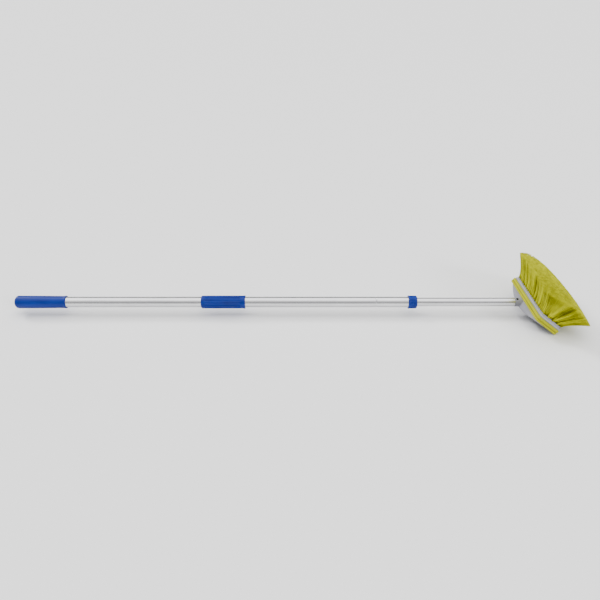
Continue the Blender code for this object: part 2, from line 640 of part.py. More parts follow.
def build_bristles(head):
    """Five groups of splayed bristles, each fused to its slice of the backing."""
    section = bpy.data.curves.new("strand_section", "CURVE")
    section.dimensions = "2D"
    corner = section.splines.new("POLY")
    corner.points.add(STRAND_SIDES - 1)
    for index, point in enumerate(corner.points):
        angle = math.tau * index / STRAND_SIDES
        point.co = (math.cos(angle), math.sin(angle), 0.0, 1.0)
    corner.use_cyclic_u = True
    guide = bpy.data.objects.new("strand_section", section)
    CUTTERS.objects.link(guide)
    guide.hide_render = True

    slice_length = (POCKET_LENGTH - GAP) / len(BRISTLE_GROUPS) - GAP
    field_width = POCKET_WIDTH - 2 * BRISTLE_EDGE_MARGIN
    half_field = POCKET_LENGTH / 2 - BRISTLE_EDGE_MARGIN
    bed = rounded_plate("bristle_bed", head, POCKET_LENGTH - 2 * GAP, POCKET_WIDTH - 2 * GAP,
                        POCKET_CORNER - GAP, BLOCK_THICKNESS - BACKING_THICKNESS - OVERRUN,
                        BLOCK_THICKNESS + OVERRUN, None, BLOCK_SET)
    for group_index, group in enumerate(BRISTLE_GROUPS):
        from_middle = len(BRISTLE_GROUPS) // 2 - group_index
        side = -1 if from_middle < 0 else 1
        slice_middle = from_middle * (slice_length + GAP)
        slice_end = slice_middle + side * slice_length / 2
        rng = random.Random(BRISTLE_SEED + abs(from_middle))
        backing = rounded_plate(f"bristles_{group}", head, slice_length, POCKET_WIDTH, GAP,
                                BLOCK_THICKNESS - BACKING_THICKNESS, BLOCK_THICKNESS, YELLOW_BRISTLE,
                                BLOCK_SET)
        backing.location.y = slice_middle
        add_boolean(backing, bed, "INTERSECT")
        tubes = bpy.data.curves.new(f"strands_{group}", "CURVE")
        tubes.dimensions = "3D"
        tubes.bevel_mode = "OBJECT"
        tubes.bevel_object = guide
        tubes.use_fill_caps = True
        pitch = (slice_length - 2 * BRISTLE_SLICE_MARGIN) / (BRISTLE_COLUMNS - 1 / 2)
        for column in range(BRISTLE_COLUMNS):
            for row in range(BRISTLE_ROWS):
                stagger = row % 2 / 2
                along = slice_end - side * (BRISTLE_SLICE_MARGIN + pitch * (column + stagger))
                across_share = 2.0 * row / (BRISTLE_ROWS - 1) - 1.0
                length = BRISTLE_LENGTH * (1.0 + BRISTLE_UNEVEN_SHARE * rng.uniform(-1.0, 1.0))
                points = strand_points(across_share, along / half_field,
                                       BLOCK_SET + across_share * field_width / 2, along, length)
                spline = tubes.splines.new("POLY")
                spline.points.add(len(points) - 1)
                widths = (BRISTLE_ROOT_DIAMETER, (BRISTLE_ROOT_DIAMETER + BRISTLE_TIP_DIAMETER) / 2,
                          BRISTLE_TIP_DIAMETER)
                for point, where, width in zip(spline.points, points, widths):
                    point.co = (*where, 1.0)
                    point.radius = width / 2
        strands = bpy.data.objects.new(f"strands_{group}", tubes)
        CUTTERS.objects.link(strands)
        fused = place(f"strands_{group}", curve_to_mesh(strands), head)
        add_boolean(backing, fused, "UNION")
    bpy.data.objects.remove(guide, do_unlink=True)


def stand_on_origin(root):
    """Put the origin under the middle of the brush, at the height of its lowest point."""
    bpy.context.view_layer.update()
    graph = bpy.context.evaluated_depsgraph_get()
    low, high = Vector((math.inf,) * 3), Vector((-math.inf,) * 3)
    for piece in PARTS.objects:
        if piece.type != "MESH":
            continue
        shape = piece.evaluated_get(graph)
        for vert in shape.data.vertices:
            spot = shape.matrix_world @ vert.co
            low = Vector(map(min, low, spot))
            high = Vector(map(max, high, spot))
    root.location = (-(low.x + high.x) / 2, -(low.y + high.y) / 2, -low.z)


clear_scene()
PARTS = new_collection(COLLECTION_NAME)
CUTTERS = new_collection("cutters")
ALUMINIUM = make_material("satin_aluminium", (0.80, 0.80, 0.81), 0.28, 1.0)
BLUE = make_material("blue_grip", (0.01, 0.12, 0.62), 0.42)
GREY = make_material("grey_moulding", (0.46, 0.47, 0.50), 0.50)
DARK_PLASTIC = make_material("dark_plastic", (0.04, 0.04, 0.05), 0.50)
NYLON = make_material("white_nylon", (0.80, 0.80, 0.76), 0.45)
BLACK = make_material("black_button", (0.01, 0.01, 0.01), 0.40)
STEEL = make_material("spring_steel", (0.55, 0.55, 0.56), 0.25, 1.0)
YELLOW_RUBBER = make_material("yellow_bumper", (0.80, 0.78, 0.01), 0.55)
YELLOW_BRISTLE = make_material("yellow_bristle", (0.76, 0.76, 0.01), 0.60)

ROOT = make_empty("brush_root", None)
SLIDE = make_empty("slide_axis", ROOT)
COLLAR_AXIS = make_empty("collar_axis", ROOT)
HEAD = make_empty("head_frame", SLIDE, (HEAD_X, -BLOCK_SHIFT, 0.0), (0.0, HEAD_TILT, 0.0))
BUTTON_AXIS = make_empty("button_axis", SLIDE, (BUTTON_X, 0.0, 0.0), (BUTTON_TURN, 0.0, 0.0))

build_outer_tube(ROOT)
build_butt_grip(ROOT)
build_butt_plug(ROOT)
build_mid_grip(ROOT)
build_collet(ROOT)
build_collar(COLLAR_AXIS)
build_inner_tube(SLIDE)
build_rear_plug(SLIDE)
build_guide_ring(SLIDE)
build_tip_plug(SLIDE)
build_button(BUTTON_AXIS)
build_button_spring(BUTTON_AXIS)
build_block(SLIDE, HEAD)
build_bumper(HEAD)
build_bristles(HEAD)
stand_on_origin(ROOT)
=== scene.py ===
"""Looks of the telescopic wash brush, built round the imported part.

The pole's pieces are turned about the line that the wide tube's node gives. The head's pieces are
modelled upright at the origin, in the head's own frame, and then set in place: local Z is the way the
bristles point, local Y runs along the block, and local X across it, away from the pole.
"""

import json
import logging
import math
from dataclasses import dataclass, field
from enum import Enum
from typing import Callable, Sequence

import bmesh
import bpy
import numpy as np
from mathutils import Matrix, Vector


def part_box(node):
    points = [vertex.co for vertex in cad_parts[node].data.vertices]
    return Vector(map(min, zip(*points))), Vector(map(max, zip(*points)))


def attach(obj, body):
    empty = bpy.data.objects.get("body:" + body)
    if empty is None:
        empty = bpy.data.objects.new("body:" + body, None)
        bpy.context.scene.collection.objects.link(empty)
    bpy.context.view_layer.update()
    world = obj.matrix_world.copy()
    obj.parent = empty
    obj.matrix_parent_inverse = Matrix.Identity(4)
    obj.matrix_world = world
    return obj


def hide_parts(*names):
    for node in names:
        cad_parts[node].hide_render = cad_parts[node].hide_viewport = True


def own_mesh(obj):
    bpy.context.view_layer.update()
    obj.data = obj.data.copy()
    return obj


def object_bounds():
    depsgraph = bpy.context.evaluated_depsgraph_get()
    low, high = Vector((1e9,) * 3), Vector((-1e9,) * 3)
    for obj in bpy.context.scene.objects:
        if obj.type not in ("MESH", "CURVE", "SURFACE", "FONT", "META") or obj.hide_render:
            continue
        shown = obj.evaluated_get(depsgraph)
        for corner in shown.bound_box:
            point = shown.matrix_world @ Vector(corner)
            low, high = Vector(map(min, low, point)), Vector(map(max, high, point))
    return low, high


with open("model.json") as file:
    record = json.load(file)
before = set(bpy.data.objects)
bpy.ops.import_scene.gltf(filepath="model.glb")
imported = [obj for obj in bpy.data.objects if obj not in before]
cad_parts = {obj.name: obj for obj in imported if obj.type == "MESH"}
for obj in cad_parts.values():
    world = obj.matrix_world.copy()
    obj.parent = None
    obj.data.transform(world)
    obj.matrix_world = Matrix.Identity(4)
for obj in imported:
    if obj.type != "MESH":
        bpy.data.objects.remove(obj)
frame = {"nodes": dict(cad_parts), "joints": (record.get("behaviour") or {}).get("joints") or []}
CAD_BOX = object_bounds()

LOG = logging.getLogger("wash_brush")

Colour = tuple[float, float, float]
Triple = tuple[float, float, float]
Profile = list[tuple[float, float]]
Shares = tuple[tuple[float, float], ...]
Faces = list[tuple[int, ...]]

# In metres: points nearer than MERGE are one, GAP parts two pieces, and a cutter passes a face by OVERRUN
MERGE = 0.000002
GAP = 0.0003
OVERRUN = 0.002
ROUND_STEPS = 128
LEVEL = 0.99  # what a level face's normal has of Z, at least
SMOOTH_ANGLE = math.radians(32.0)
GOLDEN_ANGLE = math.pi * (3.0 - math.sqrt(5.0))

# The bristles' attributes that their finish reads
TINT = "strand_tint"
ALONG = "strand_along"


class Body(Enum):
    """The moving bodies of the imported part."""

    OUTER = "outer_section"
    COLLAR = "lock_collar"
    INNER = "inner_section"
    BUTTON = "snap_button"


class Slot(Enum):
    """The record's material slots."""

    ALUMINIUM = "satin_aluminium"
    BLUE = "blue_grip"
    GREY = "grey_moulding"
    BLACK = "black_button"
    STEEL = "spring_steel"
    BUMPER = "yellow_bumper"
    BRISTLE = "yellow_bristle"


class Pick(Enum):
    """What an edit selects."""

    VERT = "VERT"
    EDGE = "EDGE"
    FACE = "FACE"


class Blend(Enum):
    """How a boolean joins two pieces."""

    ADD = "UNION"
    CUT = "DIFFERENCE"


# Modelling by hand, in small steps


def deselect_all() -> None:
    """Leave edit mode and select nothing."""
    if bpy.context.object is not None and bpy.context.object.mode != "OBJECT":
        bpy.ops.object.mode_set(mode="OBJECT")
    bpy.ops.object.select_all(action="DESELECT")


def take(piece: bpy.types.Object) -> None:
    """Make one piece the only selected and active one.

    Args:
        piece: The piece.
    """
    deselect_all()
    piece.select_set(True)
    bpy.context.view_layer.objects.active = piece


def edit(piece: bpy.types.Object, pick: Pick, test: Callable[..., bool] | None = None) -> None:
    """Enter edit mode on a piece and select some of it.

    Args:
        piece: The piece to edit.
        pick: Whether vertices, edges or faces are selected.
        test: Says for each element whether it is selected; all are where it is left out.
    """
    if bpy.context.object is not piece or piece.mode != "EDIT":
        take(piece)
        bpy.ops.object.mode_set(mode="EDIT")
    bpy.ops.mesh.select_mode(type=pick.value)
    bpy.ops.mesh.select_all(action="SELECT" if test is None else "DESELECT")
    if test is not None:
        work = bmesh.from_edit_mesh(piece.data)
        work.normal_update()
        items = {Pick.VERT: work.verts, Pick.EDGE: work.edges, Pick.FACE: work.faces}[pick]
        for item in items:
            if test(item):
                item.select_set(True)
        work.select_flush_mode()
        bmesh.update_edit_mesh(piece.data)


def leave() -> None:
    """Go back to object mode."""
    bpy.ops.object.mode_set(mode="OBJECT")


def extrude(way: Vector | Triple) -> None:
    """Extrude what is selected, straight along a vector."""
    bpy.ops.mesh.extrude_region_move(TRANSFORM_OT_translate={"value": way})


def bevel(piece: bpy.types.Object, test: Callable[..., bool], width: float, steps: int) -> None:
    """Round some of a piece's edges.

    Args:
        piece: The piece.
        test: Says which edges are rounded.
        width: The rounding's width.
        steps: Its number of facets.
    """
    edit(piece, Pick.EDGE, test)
    bpy.ops.mesh.bevel(offset=width, segments=steps, affect="EDGES")
    leave()


def settle(piece: bpy.types.Object) -> bpy.types.Object:
    """Put a piece's place, turn and scale into its mesh.

    Args:
        piece: The piece to settle.

    Returns:
        The same piece, at the origin.
    """
    take(piece)
    bpy.ops.object.transform_apply(location=True, rotation=True, scale=True)
    return piece


def tidy(piece: bpy.types.Object) -> bpy.types.Object:
    """Merge doubles, turn the faces outwards and smooth all but the sharp edges, with wide faces left even.

    A closed mesh with a volume below zero has its faces inwards, and is turned the other way.

    Args:
        piece: The piece to tidy.

    Returns:
        The same piece.
    """
    take(piece)
    bpy.ops.mesh.customdata_custom_splitnormals_clear()
    edit(piece, Pick.VERT)
    bpy.ops.mesh.remove_doubles(threshold=MERGE)
    bpy.ops.mesh.normals_make_consistent(inside=False)
    if bmesh.from_edit_mesh(piece.data).calc_volume(signed=True) < 0.0:
        bpy.ops.mesh.flip_normals()
    leave()
    bpy.ops.object.shade_smooth_by_angle(angle=SMOOTH_ANGLE)
    return modify(piece, "WEIGHTED_NORMAL", keep_sharp=True)


def modify(piece: bpy.types.Object, kind: str, **settings: object) -> bpy.types.Object:
    """Add one modifier with its settings and apply it.

    Args:
        piece: The piece to change.
        kind: The modifier's type.
        **settings: Its values by name.

    Returns:
        The same piece.
    """
    take(piece)
    step = piece.modifiers.new(kind.lower(), kind)
    for name, value in settings.items():
        setattr(step, name, value)
    bpy.ops.object.modifier_apply(modifier=step.name)
    return piece


def combine(piece: bpy.types.Object, other: bpy.types.Object, how: Blend) -> bpy.types.Object:
    """Join another piece to this one or cut it away, and delete the other.

    Args:
        piece: The piece that stays.
        other: The piece that is added or cut.
        how: Which of the two.

    Returns:
        The piece that stays.
    """
    modify(piece, "BOOLEAN", operation=how.value, solver="EXACT", object=other)
    bpy.data.objects.remove(other, do_unlink=True)
    return piece


def soften(piece: bpy.types.Object, width: float, steps: int, sharper_than: float) -> bpy.types.Object:
    """Round all of a piece's sharp edges.

    Args:
        piece: The piece to soften.
        width: The rounding's width.
        steps: Its number of facets.
        sharper_than: Degrees between two faces past which their edge is rounded.

    Returns:
        The same piece.
    """
    return modify(piece, "BEVEL", width=width, segments=steps, limit_method="ANGLE",
                  angle_limit=math.radians(sharper_than), use_clamp_overlap=True)


def drawn_chain(name: str, points: Sequence[Vector], closed: bool) -> bpy.types.Object:
    """Draw a chain of edges by extruding one vertex from point to point.

    Args:
        name: The new piece's name.
        points: The chain's points, in world space.
        closed: Whether the last point is joined to the first.

    Returns:
        The piece, in edit mode with everything selected.
    """
    deselect_all()
    bpy.ops.mesh.primitive_plane_add(size=GAP, location=(0.0, 0.0, 0.0))
    piece = bpy.context.object
    piece.name = piece.data.name = name
    edit(piece, Pick.VERT)
    bpy.ops.mesh.merge(type="CENTER")
    bpy.ops.transform.translate(value=points[0])
    route = [*points[1:], points[0]] if closed else list(points[1:])
    for start, end in zip(points, route):
        extrude(end - start)
    edit(piece, Pick.VERT)
    bpy.ops.mesh.remove_doubles(threshold=MERGE)
    edit(piece, Pick.VERT)
    return piece


def round_radius(node: str) -> float:
    """The radius of a node that is round about the pole's axis."""
    low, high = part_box(node)
    return (high.z - low.z) / 2


@dataclass(frozen=True)
class PoleLine:
    """The pole's axis, a line along X."""

    y: float
    z: float

    @classmethod
    def of_node(cls, node: str) -> "PoleLine":
        """The line through the middle of a node that is round about the pole's axis."""
        low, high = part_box(node)
        return cls((low.y + high.y) / 2, (low.z + high.z) / 2)

    def point(self, x: float, radius: float = 0.0) -> Vector:
        """A point over the axis, at a place along it and a radius."""
        return Vector((x, self.y, self.z + radius))

    def angle(self, spot: Vector) -> float:
        """The turn of a point about the axis, from straight up, in radians."""
        return math.atan2(spot.y - self.y, spot.z - self.z) % math.tau

    def radius(self, spot: Vector) -> float:
        """A point's distance from the axis."""
        return math.hypot(spot.y - self.y, spot.z - self.z)

    def off_middle(self, spot: Vector, step: float) -> float:
        """A point's turn from the middle of the nearest of equal sectors, each a step wide, in radians."""
        return (self.angle(spot) + step / 2) % step - step / 2

    def turned(self, name: str, profile: Profile, closed: bool = True, steps: int = ROUND_STEPS
               ) -> bpy.types.Object:
        """Turn a profile about the axis.

        Args:
            name: The new piece's name.
            profile: Places along the pole and radii; an open one starts and ends on the axis.
            closed: Whether the profile is a ring's section.
            steps: The number of facets round.

        Returns:
            The turned piece.
        """
        piece = drawn_chain(name, [self.point(x, radius) for x, radius in profile], closed)
        bpy.ops.mesh.spin(steps=steps, angle=math.tau, center=self.point(0.0), axis=(1.0, 0.0, 0.0))
        leave()
        return tidy(piece)

    def pinch(self, piece: bpy.types.Object, share: float, test: Callable[..., bool]) -> None:
        """Draw some of a piece's vertices towards the axis.

        Args:
            piece: The piece.
            share: What is left of their distance from the axis.
            test: Says which vertices are moved.
        """
        edit(piece, Pick.VERT, test)
        bpy.ops.transform.resize(value=(1.0, share, share), center_override=self.point(0.0))
        leave()


def arc(middle: tuple[float, float], radius: float, first: float, last: float, steps: int,
        flatten: float = 1.0) -> Profile:
    """Points of a round stretch of a profile.

    Args:
        middle: Its centre, as a place along the pole and a radius.
        radius: Its own radius.
        first: The first angle in degrees, from the way to the head.
        last: The last angle.
        steps: The number of facets.
        flatten: What its depth along the pole is multiplied by.

    Returns:
        The points.
    """
    points = []
    for index in range(steps + 1):
        angle = math.radians(first + (last - first) * index / steps)
        points.append((middle[0] + radius * flatten * math.cos(angle), middle[1] + radius * math.sin(angle)))
    return points


# Finishes


def add_node(tree: bpy.types.NodeTree, kind: str, inputs: dict[str | int, object] | None = None,
             **settings: object) -> bpy.types.Node:
    """Add one node to a tree.

    Args:
        tree: The tree.
        kind: The node's type.
        inputs: Values or sockets for its inputs, by name or number.
        **settings: Its own properties.

    Returns:
        The node.
    """
    node = tree.nodes.new(kind)
    for name, value in settings.items():
        setattr(node, name, value)
    for name, value in (inputs or {}).items():
        if isinstance(value, bpy.types.NodeSocket):
            tree.links.new(value, node.inputs[name])
        else:
            node.inputs[name].default_value = value
    return node


class Sheet:
    """A material's node tree, with short calls for the nodes that the finishes need."""

    def __init__(self, name: str) -> None:
        """Start a material with its Principled shader and Object coordinates.

        Args:
            name: The material's name.
        """
        self.material = bpy.data.materials.new(name)
        self.material.use_nodes = True
        self.tree = self.material.node_tree
        self.shader = self.tree.nodes["Principled BSDF"]
        self.place = self.tree.nodes.new("ShaderNodeTexCoord").outputs["Object"]

    def add(self, kind: str, inputs: dict[str | int, object] | None = None, **settings: object
            ) -> bpy.types.Node:
        """Add one node to the sheet, as add_node does."""
        return add_node(self.tree, kind, inputs, **settings)

    def stretched(self, scale: Triple) -> bpy.types.NodeSocket:
        """Object coordinates, multiplied by one number along each axis."""
        return self.add("ShaderNodeMapping", {"Vector": self.place, "Scale": scale}).outputs["Vector"]

    def noise(self, scale: float, detail: float = 2.0, where: bpy.types.NodeSocket | None = None
              ) -> bpy.types.NodeSocket:
        """Soft noise from 0 to 1, with so many spots to the metre, on the piece's own coordinates or on others."""
        inputs = {"Vector": where or self.place, "Scale": scale, "Detail": detail}
        return self.add("ShaderNodeTexNoise", inputs).outputs["Fac"]

    def spread(self, value: bpy.types.NodeSocket, low: float, high: float, start: float = 0.3,
               end: float = 0.7) -> bpy.types.NodeSocket:
        """A value mapped from one span to another and held inside it."""
        inputs = {"Value": value, "From Min": start, "From Max": end, "To Min": low, "To Max": high}
        return self.add("ShaderNodeMapRange", inputs).outputs["Result"]

    def sum(self, first: bpy.types.NodeSocket, second: bpy.types.NodeSocket, share: float = 1.0
            ) -> bpy.types.NodeSocket:
        """One value and a share of another."""
        return self.add("ShaderNodeMath", {0: second, 1: share, 2: first}, operation="MULTIPLY_ADD").outputs[0]

    def mixed(self, share: bpy.types.NodeSocket, base: bpy.types.NodeSocket | Colour, tint: Colour
              ) -> bpy.types.NodeSocket:
        """A base colour, flat or from other nodes, drawn towards a tint by a share."""
        start = base if isinstance(base, bpy.types.NodeSocket) else (*base, 1.0)
        return self.add("ShaderNodeMix", {0: share, 6: start, 7: (*tint, 1.0)}, data_type="RGBA").outputs[2]

    def relief(self, height: bpy.types.NodeSocket, depth: float, over: bpy.types.NodeSocket | None = None
               ) -> bpy.types.NodeSocket:
        """Let a pattern stand out as bump.

        Args:
            height: The pattern.
            depth: How far it stands out, in metres.
            over: A bump that lies under it, if there is one.

        Returns:
            The bumped normal.
        """
        inputs: dict[str | int, object] = {"Height": height, "Distance": depth, "Strength": 1.0}
        if over is not None:
            inputs["Normal"] = over
        return self.add("ShaderNodeBump", inputs).outputs["Normal"]

    def wear(self, **sockets: object) -> None:
        """Set the shader's inputs.

        Args:
            **sockets: Values or sockets by the input's name, where a double underscore stands for a space.
        """
        for name, value in sockets.items():
            target = self.shader.inputs[name.replace("__", " ")]
            if isinstance(value, bpy.types.NodeSocket):
                self.tree.links.new(value, target)
            else:
                target.default_value = value


@dataclass(frozen=True)
class DrawnAluminium:
    """Satin tube with fine drawing lines along it, faint rings from sliding and handled patches."""

    name: str
    light: Colour = (0.74, 0.74, 0.75)
    shade: Colour = (0.58, 0.58, 0.595)
    lines_across: float = 1500.0
    lines_drawn_out: float = 300.0
    line_depth: float = 0.000006
    rings: Triple = (700.0, 6.0, 6.0)
    ring_share: float = 0.25
    ring_relief: float = 0.2
    patches_a_metre: float = 14.0
    patch_share: float = 0.6
    light_span: tuple[float, float] = (0.65, 1.15)
    roughness: tuple[float, float] = (0.16, 0.30)
    roughness_span: tuple[float, float] = (0.6, 1.2)

    def make(self) -> bpy.types.Material:
        """Lay the finish's nodes.

        Returns:
            The finish as a material.
        """
        sheet = Sheet(self.name)
        across = self.lines_across
        along = across / self.lines_drawn_out
        lines = sheet.noise(1.0, detail=4.0, where=sheet.stretched((along, across, across)))
        rings = sheet.noise(1.0, detail=3.0, where=sheet.stretched(self.rings))
        patches = sheet.noise(self.patches_a_metre, detail=3.0)
        worn = sheet.sum(sheet.sum(lines, patches, self.patch_share), rings, self.ring_share)
        sheet.wear(
            Base__Color=sheet.mixed(sheet.spread(worn, 0.0, 1.0, *self.light_span), self.shade, self.light),
            Roughness=sheet.spread(worn, self.roughness[1], self.roughness[0], *self.roughness_span),
            Metallic=1.0,
            Normal=sheet.relief(sheet.sum(lines, rings, self.ring_relief), self.line_depth),
        )
        return sheet.material


@dataclass(frozen=True)
class PaintedLightLine:
    """A level line round a piece where light or shade is painted into the colour: a painted highlight along an
    edge or painted shade in a crease.
    """

    matrix: Matrix
    height: float
    width: float
    colour: Colour
    share: float = 0.7
    frayed: float = 0.3
    frays_a_metre: float = 900.0
    fading: tuple[float, float] = (0.35, 0.65)

    def over(self, sheet: Sheet, base: bpy.types.NodeSocket) -> bpy.types.NodeSocket:
        """Lay the line over a colour.

        Args:
            sheet: The finish's sheet.
            base: The colour under the line.

        Returns:
            The colour with the line.
        """
        frame_place = {"Vector": sheet.place, "Location": self.matrix.translation,
                       "Rotation": self.matrix.to_euler()}
        where = sheet.add("ShaderNodeMapping", frame_place, vector_type="TEXTURE").outputs["Vector"]
        level = sheet.add("ShaderNodeSeparateXYZ", {0: where}).outputs["Z"]
        fray = self.width * self.frayed
        broken = sheet.sum(level, sheet.noise(self.frays_a_metre, detail=3.0), fray)
        away = sheet.add("ShaderNodeMath", {0: broken, 1: self.height + fray / 2}, operation="SUBTRACT")
        near = sheet.add("ShaderNodeMath", {0: away.outputs[0]}, operation="ABSOLUTE").outputs[0]
        start, end = (self.width * share for share in self.fading)
        return sheet.mixed(sheet.spread(near, self.share, 0.0, start, end), base, self.colour)


@dataclass(frozen=True)
class MouldedPlastic:
    """Moulded plastic with a fine grain, slow flow lines and handled, shinier patches."""

    name: str
    colour: Colour
    flow_colour: Colour
    grain: float = 1500.0
    grain_depth: float = 0.00003
    flow: Triple = (14.0, 120.0, 120.0)
    flow_depth: float = 0.00006
    flow_span: tuple[float, float] = (0.5, 1.0)
    patches_a_metre: float = 30.0
    patch_share: float = 0.5
    grain_share: float = 0.4
    roughness: tuple[float, float] = (0.36, 0.50)
    roughness_span: tuple[float, float] = (0.5, 0.9)
    gloss: float = 0.30
    painted_light_lines: tuple[PaintedLightLine, ...] = ()

    def make(self) -> bpy.types.Material:
        """Lay the finish's nodes.

        Returns:
            The finish as a material.
        """
        sheet = Sheet(self.name)
        grain = sheet.noise(self.grain)
        flow = sheet.noise(1.0, where=sheet.stretched(self.flow))
        patches = sheet.noise(self.patches_a_metre, detail=4.0)
        streaks = sheet.spread(sheet.sum(flow, patches, self.patch_share), 0.0, 1.0, *self.flow_span)
        base = sheet.mixed(streaks, self.colour, self.flow_colour)
        # painted light: pale highlight lines and dark shade lines laid over the colour
        for line in self.painted_light_lines:
            base = line.over(sheet, base)
        sheet.wear(
            Base__Color=base,
            Roughness=sheet.spread(sheet.sum(patches, grain, self.grain_share), *self.roughness,
                                   *self.roughness_span),
            Specular__IOR__Level=self.gloss,
            Normal=sheet.relief(grain, self.grain_depth, sheet.relief(flow, self.flow_depth)),
        )
        return sheet.material


@dataclass(frozen=True)
class BristleFibre:
    """Crimp-free plastic fibre: each strand has its own tint, with roots darkened by painted shade and frayed pale
    tips.
    """

    name: str
    deep: Colour = (0.13, 0.13, 0.0)
    pale: Colour = (0.72, 0.73, 0.0)
    # painted shade: the colour the fibres are drawn to near their roots, where the tufts shade each other by the
    # block
    root: Colour = (0.24, 0.235, 0.0)
    tip: Colour = (0.48, 0.485, 0.0)
    root_shade_share: float = 0.30
    root_shade_span: tuple[float, float] = (0.06, 0.20)
    tip_share: float = 0.55
    tip_span: tuple[float, float] = (0.82, 1.0)
    patchiness: float = 0.15
    patches_a_metre: float = 60.0
    roughness: float = 0.55
    gloss: float = 0.10

    def make(self) -> bpy.types.Material:
        """Lay the finish's nodes.

        Returns:
            The finish as a material.
        """
        sheet = Sheet(self.name)
        tint = sheet.add("ShaderNodeAttribute", attribute_name=TINT).outputs["Fac"]
        along = sheet.add("ShaderNodeAttribute", attribute_name=ALONG).outputs["Fac"]
        patches = sheet.noise(self.patches_a_metre)
        uneven = sheet.sum(tint, sheet.spread(patches, -self.patchiness, self.patchiness))
        strand = sheet.mixed(uneven, self.deep, self.pale)
        # painted shade: each fibre darkened towards its root
        root_shaded = sheet.mixed(sheet.spread(along, self.root_shade_share, 0.0, *self.root_shade_span), strand, self.root)
        frayed = sheet.mixed(sheet.spread(along, 0.0, self.tip_share, *self.tip_span), root_shaded, self.tip)
        sheet.wear(Base__Color=frayed, Roughness=self.roughness, Specular__IOR__Level=self.gloss)
        return sheet.material


@dataclass(frozen=True)
class PaleFloor:
    """The studio's matt floor."""

    name: str = "studio_floor"
    colour: Colour = (0.90, 0.90, 0.90)
    dimming: float = 0.985
    patches_a_metre: float = 3.0
    roughness: float = 0.9

    def make(self) -> bpy.types.Material:
        """Lay the finish's nodes.

        Returns:
            The finish as a material.
        """
        sheet = Sheet(self.name)
        patches = sheet.noise(self.patches_a_metre)
        dimmed = tuple(self.dimming * value for value in self.colour)
        sheet.wear(Base__Color=sheet.mixed(patches, dimmed, self.colour), Roughness=self.roughness)
        return sheet.material


GREY: Colour = (0.24, 0.24, 0.27)
GREY_FLOW: Colour = (0.31, 0.31, 0.345)

ALUMINIUM = DrawnAluminium("drawn_aluminium").make()
BLUE_GRIP = MouldedPlastic("blue_sleeve", (0.0, 0.012, 0.15), (0.0, 0.024, 0.245),
                           roughness=(0.30, 0.45), gloss=0.20).make()
GREY_PLUG = MouldedPlastic("grey_plug_moulding", GREY, GREY_FLOW, roughness=(0.40, 0.55)).make()
DARK_PLASTIC = MouldedPlastic("dark_inner_moulding", (0.03, 0.03, 0.035), (0.05, 0.05, 0.055)).make()
WHITE_NYLON = MouldedPlastic("white_slide_ring", (0.74, 0.74, 0.70), (0.80, 0.80, 0.77)).make()
BLACK_BUTTON = MouldedPlastic("black_press_button", (0.004, 0.004, 0.004), (0.007, 0.007, 0.007),
                              roughness=(0.45, 0.60), gloss=0.10).make()
SPRING_STEEL = DrawnAluminium("rolled_spring_strip", (0.60, 0.60, 0.61), (0.46, 0.46, 0.47)).make()
FIBRE = BristleFibre("yellow_fibre").make()


def finish_piece(piece: bpy.types.Object, material: bpy.types.Material, slot: Slot, body: Body,
                 *nodes: str) -> bpy.types.Object:
    """Give a finished piece its material and the body it rides on, and hide the nodes it stands for.

    Args:
        piece: The piece.
        material: Its finish.
        slot: The record's slot; not used.
        body: The body that it moves with.
        *nodes: The nodes that it replaces.

    Returns:
        The same piece.
    """
    deselect_all()
    piece.data.materials.clear()
    piece.data.materials.append(material)
    if nodes:
        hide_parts(*nodes)
    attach(piece, body.value)
    LOG.info("%s: %d faces, on %s", piece.name, len(piece.data.polygons), body.value)
    return piece


# The pole


@dataclass(frozen=True)
class RolledGroove:
    """A groove rolled round a tube; one that goes through stands out inside it as well."""

    middle: float
    width: float
    depth: float
    through: bool
    steps: int = 8

    def dip(self) -> Profile:
        """The groove's section.

        Returns:
            Its places along the tube, from the head's side, and its depth at each.
        """
        sides = [1.0 - 2.0 * index / self.steps for index in range(self.steps + 1)]
        return [(self.middle + side * self.width / 2, self.depth * (1.0 + math.cos(math.pi * side)) / 2)
                for side in sides]


@dataclass
class Tube:
    """A drawn tube, with any rolled grooves in its wall."""

    node: str
    body: Body
    line: PoleLine
    wall: float = 0.0010
    rim: float = 0.00025
    grooves: list[RolledGroove] = field(default_factory=list)

    def build(self) -> bpy.types.Object:
        """Turn the tube, round its rims and dress it.

        Returns:
            The tube.
        """
        low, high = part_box(self.node)
        radius = round_radius(self.node)
        outer: Profile = [(high.x, radius)]
        inner: Profile = [(low.x, radius - self.wall)]
        for groove in self.grooves:
            outer += [(x, radius - down) for x, down in groove.dip()]
            if groove.through:
                inner += [(x, radius - self.wall - down) for x, down in reversed(groove.dip())]
        outer.append((low.x, radius))
        inner.append((high.x, radius - self.wall))
        tube = self.line.turned(f"{self.node}_drawn", outer + inner)
        soften(tube, self.rim, steps=2, sharper_than=60.0)
        return finish_piece(tidy(tube), ALUMINIUM, Slot.ALUMINIUM, self.body, self.node)


